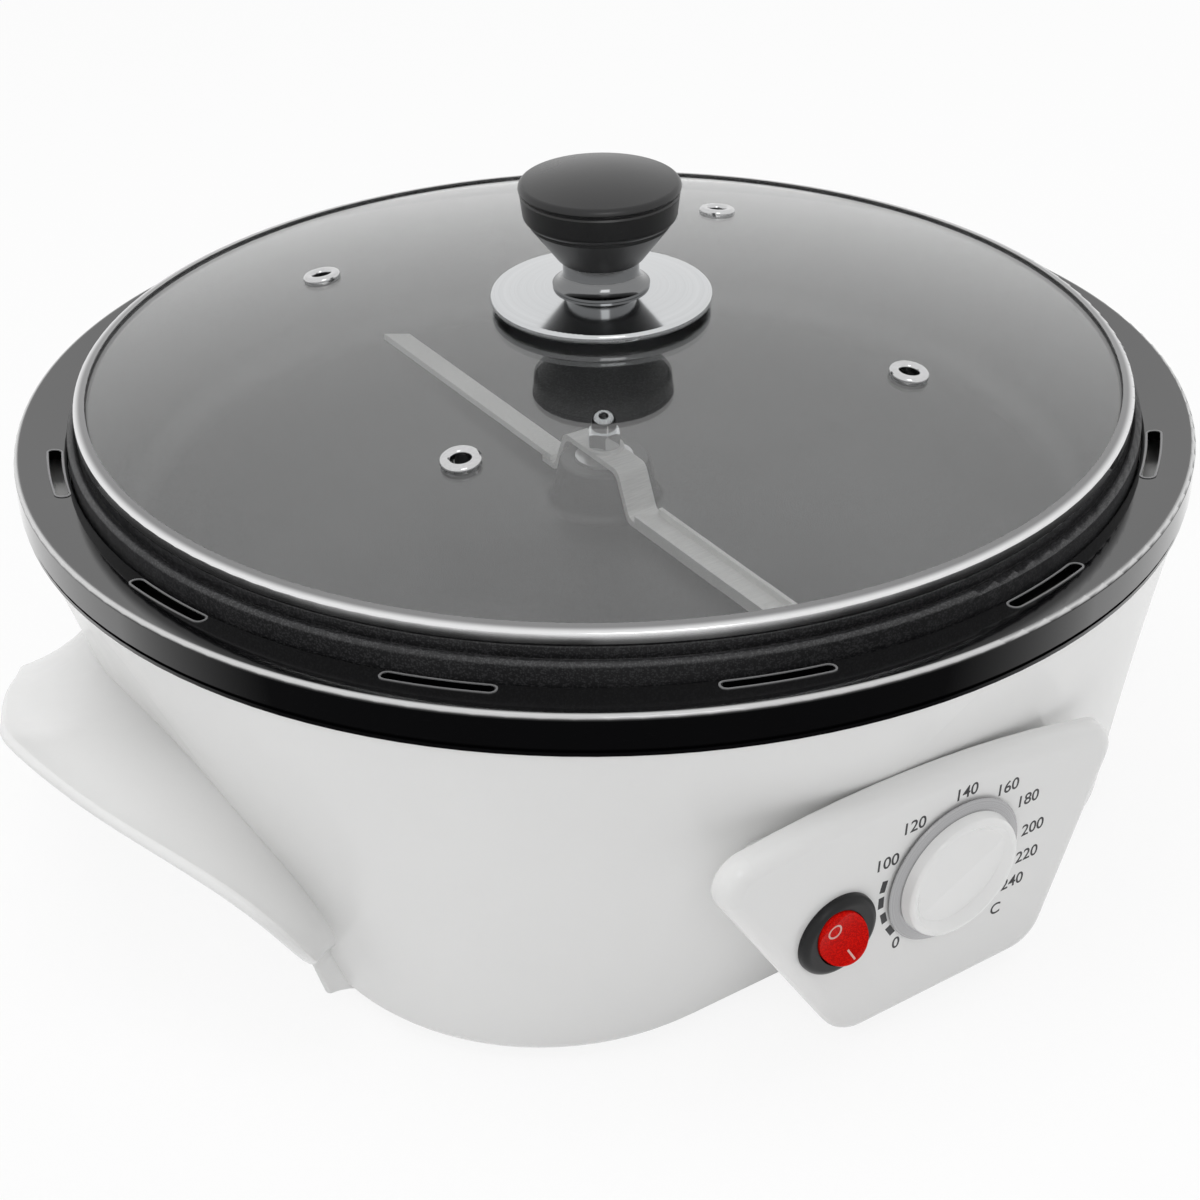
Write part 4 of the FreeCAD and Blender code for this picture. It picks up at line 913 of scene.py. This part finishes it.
@dataclass(frozen=True)
class PanAndRing(SubAssembly):
    """The non-stick pan in its black trim ring, and what holds and heats it."""

    title: str = "pan and ring"
    body: str = "housing"
    dressing: tuple[tuple[str, tuple[str, ...]], ...] = (
        ("trim_plastic", ("trim_ring",)),
        ("pan_coating", ("pan",)),
        ("zinc_steel", ("shaft_bush", "pan_studs", "stud_nuts", "heater_clamps")),
        ("heater_sheath", ("heating_element",)),
        ("shield_steel", ("heat_shield",)),
    )
    slots: int = 12
    first_slot_deg: float = 10.5
    slot_radius_mm: float = 146.3
    slot_width_mm: float = 3.2
    slot_arc_deg: float = 10.4
    slot_corner_mm: float = 1.4
    bead_gap_mm: float = 0.3
    bead_half_width_mm: float = 0.25
    bead_proud_mm: float = 0.22
    bead_sunk_mm: float = 0.05
    bead_step_mm: float = 1.5
    corner_steps: int = 6
    above_mm: float = 200.0

    def _bead_line(self) -> list[tuple[float, float]]:
        """Return the line round a slot, as distances along its arc and across it."""
        half_long = math.radians(self.slot_arc_deg) * self.slot_radius_mm / 2 + self.bead_gap_mm
        half_wide = self.slot_width_mm / 2 + self.bead_gap_mm
        corner = self.slot_corner_mm + self.bead_gap_mm
        line = []
        for turn, (way_x, way_y) in enumerate(((1, 1), (-1, 1), (-1, -1), (1, -1))):
            for step in range(self.corner_steps + 1):
                angle = math.radians(90 * turn + 90 * step / self.corner_steps)
                line.append((way_x * (half_long - corner) + corner * math.cos(angle),
                             way_y * (half_wide - corner) + corner * math.sin(angle)))
        dense = []
        for index, here in enumerate(line):
            after = line[(index + 1) % len(line)]
            parts = max(1, round(math.dist(here, after) / self.bead_step_mm))
            dense += [(here[0] + (after[0] - here[0]) * step / parts,
                       here[1] + (after[1] - here[1]) * step / parts) for step in range(parts)]
        return dense

    def build(self, nodes: dict[str, bpy.types.Object], shop: Paintshop) -> list[bpy.types.Object]:
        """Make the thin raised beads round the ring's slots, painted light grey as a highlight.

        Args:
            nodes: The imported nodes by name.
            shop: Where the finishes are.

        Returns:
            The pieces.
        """
        touch = Surface(nodes["trim_ring"], Vector((0.0, 0.0, -1.0)))
        bead = Outline(tuple(self._bead_line()), self.bead_half_width_mm, closed=True)
        meshes = []
        for slot in range(self.slots):
            middle = math.radians(self.first_slot_deg + 360 * slot / self.slots)

            def place(along: float, across: float, out: float, middle: float = middle) -> Vector:
                """Return a point on the ring's top, bent round its centre."""
                angle = middle + along / self.slot_radius_mm
                radius = self.slot_radius_mm + across
                above = Vector((radius * math.cos(angle), radius * math.sin(angle), self.above_mm)) * MM
                return touch.point(above, out)

            meshes.append(bead.mesh("bead", place, self.bead_sunk_mm, self.bead_proud_mm))
        # The beads take the trim ring's slot but are painted light grey as a highlight.
        return [self.keep(merge("slot_beads", meshes), "trim_plastic", "bead_painted_highlight", shop)]


@dataclass(frozen=True)
class InnerWorks(SubAssembly):
    """The motor, the thermostat's body and the other works under the pan."""

    title: str = "inner works"
    body: str = "housing"
    dressing: tuple[tuple[str, tuple[str, ...]], ...] = (
        ("ceramic_white", ("thermal_cutout", "terminal_block")),
        ("copper", ("thermostat_bulb", "capillary_tube")),
        ("shield_steel", ("motor_bracket",)),
        ("motor_case", ("gear_motor", "thermostat_body")),
        ("zinc_steel", ("motor_screws", "bracket_screws", "thermostat_screws", "block_screws")),
        ("brass", ("switch_terminals",)),
        ("switch_black", ("switch_housing",)),
    )


@dataclass(frozen=True)
class Stirrer(SubAssembly):
    """The bent steel stirrer with its shaft and acorn nut."""

    title: str = "stirrer"
    body: str = "stirrer_drive"
    dressing: tuple[tuple[str, tuple[str, ...]], ...] = (
        ("zinc_steel", ("motor_shaft", "drive_coupling", "grub_screws")),
        ("stirrer_steel", ("drive_shaft", "stirrer", "stirrer_washer")),
        ("chrome", ("acorn_nut",)),
    )


@dataclass(frozen=True)
class Lid(SubAssembly):
    """The loose glass lid with its steel rim, vents and knob."""

    title: str = "lid"
    body: str = "lid"
    dressing: tuple[tuple[str, tuple[str, ...]], ...] = (
        ("lid_glass", ("lid_glass",)),
        ("rim_steel", ("lid_rim",)),
        ("eyelet_steel", tuple(f"vent_eyelet_{number}" for number in FOUR)),
        ("chrome", ("knob_disc",)),
        # The neck's chrome is painted dark as a painted reflection.
        ("chrome_painted_dark", ("knob_neck",)),
        ("knob_black", ("lid_knob",)),
        ("foot_rubber", ("lid_gasket",)),
        ("zinc_steel", ("lid_washer", "lid_screw")),
    )


@dataclass(frozen=True)
class DialKnob(SubAssembly):
    """The white thermostat knob on its skirt."""

    title: str = "dial knob"
    body: str = "thermostat_dial"
    dressing: tuple[tuple[str, tuple[str, ...]], ...] = (
        ("zinc_steel", ("thermostat_spindle",)),
        ("skirt_metal", ("knob_skirt",)),
        ("knob_plastic", ("thermostat_knob",)),
    )


@dataclass(frozen=True)
class DialPrinting(SubAssembly):
    """The numbers and dashes printed round the dial, a thin film of ink on the face."""

    title: str = "dial printing"
    body: str = "housing"
    letter_mm: float = 5.0
    bold_mm: float = 0.05
    sunk_mm: float = 0.02
    proud_mm: float = 0.04
    dash_half_width_mm: float = 0.85
    dash_half_length_mm: float = 1.75
    curve_steps: int = 6
    raw_depth: float = 0.5
    numbers: tuple[tuple[str, float, float], ...] = (
        ("0", -17.6, 25.5), ("100", -24.0, 53.9), ("120", -16.7, 62.0), ("140", -0.8, 65.2),
        ("160", 13.1, 60.6), ("180", 20.9, 53.6), ("200", 24.4, 43.1), ("220", 23.9, 34.5),
        ("240", 20.3, 27.2), ("C", 15.8, 20.2),
    )
    dashes: tuple[tuple[float, float], ...] = (
        (-20.1, 30.9), (-22.8, 36.1), (-24.3, 41.6), (-24.1, 46.6),
    )

    def _letters(self, text: str, u_mm: float, v_mm: float) -> bpy.types.Mesh:
        """Make one number as a thin solid on the face.

        Args:
            text: What it says.
            u_mm: Its middle, to the right of the face's middle.
            v_mm: Its middle, up the face.

        Returns:
            The mesh, in place.
        """
        curve = bpy.data.curves.new("letters", "FONT")
        curve.body = text
        curve.size = self.letter_mm
        curve.offset = self.bold_mm
        curve.align_x = "CENTER"
        curve.align_y = "CENTER"
        curve.extrude = self.raw_depth  # any depth, because the loop below sets both sides
        curve.resolution_u = self.curve_steps
        holder = bpy.data.objects.new("letters", curve)
        bpy.context.scene.collection.objects.link(holder)
        graph = bpy.context.evaluated_depsgraph_get()
        mesh = bpy.data.meshes.new_from_object(holder.evaluated_get(graph))
        bpy.data.objects.remove(holder)
        for vertex in mesh.vertices:
            out = self.proud_mm if vertex.co.z > 0 else -self.sunk_mm
            vertex.co = FACE.point(u_mm + vertex.co.x, v_mm + vertex.co.y, out)
        return mesh

    def _dash(self, u_mm: float, v_mm: float) -> bpy.types.Mesh:
        """Make one dash, its long side along the circle about the dial.

        Args:
            u_mm: Its middle, to the right of the face's middle.
            v_mm: Its middle, up the face.

        Returns:
            The mesh, in place.
        """
        spoke = Vector((u_mm - DIAL_MM[0], v_mm - DIAL_MM[1])).normalized()
        along = Vector((-spoke.y, spoke.x)) * self.dash_half_length_mm
        middle = Vector((u_mm, v_mm))
        ends = (tuple(middle - along), tuple(middle + along))
        line = Outline(ends, self.dash_half_width_mm)
        return line.mesh("dash", FACE.point, self.sunk_mm, self.proud_mm)

    def build(self, nodes: dict[str, bpy.types.Object], shop: Paintshop) -> list[bpy.types.Object]:
        """Make the numbers and the dashes.

        Args:
            nodes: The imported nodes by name.
            shop: Where the finishes are.

        Returns:
            The pieces.
        """
        numbers = merge("dial_numbers", [self._letters(*number) for number in self.numbers])
        dashes = merge("dial_dashes", [self._dash(*dash) for dash in self.dashes])
        return [self.keep(piece, "trim_plastic", "dial_ink", shop) for piece in (numbers, dashes)]


@dataclass(frozen=True)
class RockerSwitch(SubAssembly):
    """The red rocker with its O and I."""

    title: str = "rocker switch"
    body: str = "power_rocker"
    dressing: tuple[tuple[str, tuple[str, ...]], ...] = (("rocker_red", ("switch_rocker",)),)
    middle_mm: tuple[float, float] = (-38.9, 39.2)
    turn_deg: float = 29.0
    reach_mm: float = 4.6
    ring_mm: tuple[float, float] = (1.8, 1.8)
    bar_mm: float = 1.6
    stroke_half_mm: float = 0.24
    bar_share: float = 1.1
    sunk_mm: float = 0.03
    proud_mm: float = 0.05
    above_mm: float = 30.0
    ring_steps: int = 40
    bar_steps: int = 8

    def _on_top(self, rocker: bpy.types.Object) -> Placer:
        """Return a placer that lays marks on the rocker's own top.

        Args:
            rocker: The rocker's node.

        Returns:
            The placer, whose coordinates are across and along the rocker.
        """
        touch = Surface(rocker, -FACE.out)
        turn = math.radians(self.turn_deg)

        def place(across: float, along: float, out: float) -> Vector:
            """Return the point on the rocker's top."""
            u_mm = self.middle_mm[0] + across * math.cos(turn) - along * math.sin(turn)
            v_mm = self.middle_mm[1] + across * math.sin(turn) + along * math.cos(turn)
            return touch.point(FACE.point(u_mm, v_mm, self.above_mm), out)

        return place

    def build(self, nodes: dict[str, bpy.types.Object], shop: Paintshop) -> list[bpy.types.Object]:
        """Make the O and the I.

        Args:
            nodes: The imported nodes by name.
            shop: Where the finishes are.

        Returns:
            The pieces.
        """
        place = self._on_top(nodes["switch_rocker"])
        steps = [2 * math.pi * step / self.ring_steps for step in range(self.ring_steps)]
        ring = Outline(
            tuple((self.ring_mm[0] * math.cos(a), self.reach_mm + self.ring_mm[1] * math.sin(a))
                  for a in steps),
            self.stroke_half_mm, closed=True)
        rungs = [-self.reach_mm - self.bar_mm + 2 * self.bar_mm * step / self.bar_steps
                 for step in range(self.bar_steps + 1)]
        bar = Outline(tuple((0.0, rung) for rung in rungs), self.stroke_half_mm * self.bar_share)
        marks = merge("rocker_marks", [
            line.mesh("mark", place, self.sunk_mm, self.proud_mm) for line in (ring, bar)])
        return [self.keep(marks, "rocker_red", "mark_ink", shop)]


@dataclass(frozen=True)
class Lamp:
    """A soft square lamp, mirrored in glossy surfaces or not."""

    name: str
    place: tuple[float, float, float]
    side: float
    power: float
    mirrored: bool = True


@dataclass(frozen=True)
class Studio:
    """The floor, the light and the camera."""

    camera_place: tuple[float, float, float] = (-0.33838, -0.49259, 0.40487)
    camera_forward: tuple[float, float, float] = (0.48406, 0.70960, -0.51201)
    camera_roll_deg: float = -1.0945
    lens_mm: float = 73.39
    sensor_mm: float = 36.0
    nearest: float = 0.01
    look_at: tuple[float, float, float] = (0.0, 0.0, 0.06)
    sky: float = 0.46
    floor_side: float = 12.0
    floor_share: float = 0.12
    floor_shade: tuple[float, float, float, float] = (0.9, 0.9, 0.9, 1.0)
    lamps: tuple[Lamp, ...] = (
        Lamp("lamp_key", (-0.6, -1.4, 1.3), 0.75, 4.0),
        Lamp("lamp_top", (-0.3, 0.1, 2.0), 1.2, 14.0, mirrored=False),
        Lamp("lamp_left", (-1.5, 0.4, 0.75), 0.9, 3.2, mirrored=False),
        Lamp("lamp_right", (1.5, -0.2, 0.8), 0.9, 4.5, mirrored=False),
    )

    def _camera(self) -> None:
        """Make the camera."""
        forward = Vector(self.camera_forward).normalized()
        level = forward.cross(Vector((0, 0, 1))).normalized()
        upright = level.cross(forward)
        turn = math.radians(self.camera_roll_deg)
        right = level * math.cos(turn) + upright * math.sin(turn)
        up = upright * math.cos(turn) - level * math.sin(turn)
        data = bpy.data.cameras.new("camera")
        data.lens = self.lens_mm
        data.sensor_width = self.sensor_mm
        data.clip_start = self.nearest
        camera = bpy.data.objects.new("camera", data)
        columns = Matrix((right, up, -forward)).transposed()
        camera.matrix_world = Matrix.Translation(self.camera_place) @ columns.to_4x4()
        bpy.context.scene.collection.objects.link(camera)
        bpy.context.scene.camera = camera

    def _lamps(self) -> None:
        """Make the lamps, all aimed at the object."""
        for lamp in self.lamps:
            data = bpy.data.lights.new(lamp.name, "AREA")
            data.size = lamp.side
            data.energy = lamp.power
            made = bpy.data.objects.new(lamp.name, data)
            made.location = lamp.place
            aim = Vector(self.look_at) - Vector(lamp.place)
            made.rotation_euler = aim.to_track_quat("-Z", "Y").to_euler()
            made.visible_camera = False
            made.visible_transmission = False
            made.visible_glossy = lamp.mirrored
            bpy.context.scene.collection.objects.link(made)

    @staticmethod
    def _seen(wiring: Wiring) -> bpy.types.NodeSocket:
        """Return a mask that is 1 for rays that show a background.

        Args:
            wiring: The tree to add it to.

        Returns:
            The mask's socket.
        """
        path = wiring.add("ShaderNodeLightPath")
        mask = path.outputs["Is Camera Ray"]
        for name in ("Is Glossy Ray", "Is Transmission Ray"):
            more = wiring.add("ShaderNodeMath", operation="MAXIMUM")
            wiring.join(mask, more.inputs[0])
            wiring.join(path.outputs[name], more.inputs[1])
            mask = more.outputs[0]
        return mask

    def _world(self) -> None:
        """Make the sky: white where it is seen, softer where it only lights."""
        world = bpy.data.worlds.new("sky")
        world.use_nodes = True
        wiring = Wiring(world.node_tree)
        ramp = wiring.add("ShaderNodeMapRange")
        ramp.inputs["To Min"].default_value = self.sky
        ramp.inputs["To Max"].default_value = 1.0
        wiring.join(self._seen(wiring), ramp.inputs["Value"])
        sheet = wiring.tree.nodes["Background"]
        sheet.inputs["Color"].default_value = (1.0, 1.0, 1.0, 1.0)
        wiring.join(ramp.outputs["Result"], sheet.inputs["Strength"])
        bpy.context.scene.world = world

    def _floor(self) -> None:
        """Make the floor: white where it is seen, with the object's soft shadow on it."""
        half = self.floor_side / 2
        mesh = bpy.data.meshes.new("floor")
        mesh.from_pydata([(-half, -half, 0), (half, -half, 0), (half, half, 0), (-half, half, 0)],
                         [], [(0, 1, 2, 3)])
        floor = bpy.data.objects.new("floor", mesh)
        bpy.context.scene.collection.objects.link(floor)
        paint = bpy.data.materials.new("floor")
        paint.use_nodes = True
        wiring = Wiring(paint.node_tree)
        wiring.tree.nodes.clear()
        lit = wiring.add("ShaderNodeBsdfDiffuse")
        lit.inputs["Color"].default_value = self.floor_shade
        glow = wiring.add("ShaderNodeEmission")
        glow.inputs["Strength"].default_value = 1.0
        share = wiring.add("ShaderNodeMath", operation="MULTIPLY")
        share.inputs[1].default_value = 1.0 - self.floor_share
        wiring.join(self._seen(wiring), share.inputs[0])
        both = wiring.add("ShaderNodeMixShader")
        wiring.join(share.outputs[0], both.inputs[0])
        wiring.join(lit.outputs[0], both.inputs[1])
        wiring.join(glow.outputs[0], both.inputs[2])
        output = wiring.add("ShaderNodeOutputMaterial")
        wiring.join(both.outputs[0], output.inputs["Surface"])
        mesh.materials.append(paint)

    def build(self) -> None:
        """Make everything that isn't part of the object."""
        self._camera()
        self._lamps()
        self._world()
        self._floor()
        bpy.context.scene.view_settings.view_transform = "Standard"
        log.info("studio: camera, %d lamps, sky and floor", len(self.lamps))


def main() -> None:
    """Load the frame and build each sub-assembly."""
    logging.basicConfig(level=logging.INFO, format="%(name)s: %(message)s")
    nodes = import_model()["nodes"]
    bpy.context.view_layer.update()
    Studio().build()
    shop = Paintshop(FINISHES)
    for part in (Housing(), PanAndRing(), InnerWorks(), Stirrer(), DialKnob(), DialPrinting(),
                 RockerSwitch(), Lid()):
        painted = part.dress(nodes, shop)
        made = part.build(nodes, shop)
        log.info("%s: %d nodes, %d pieces", part.title, painted, len(made))


if __name__ == "__main__":
    main()
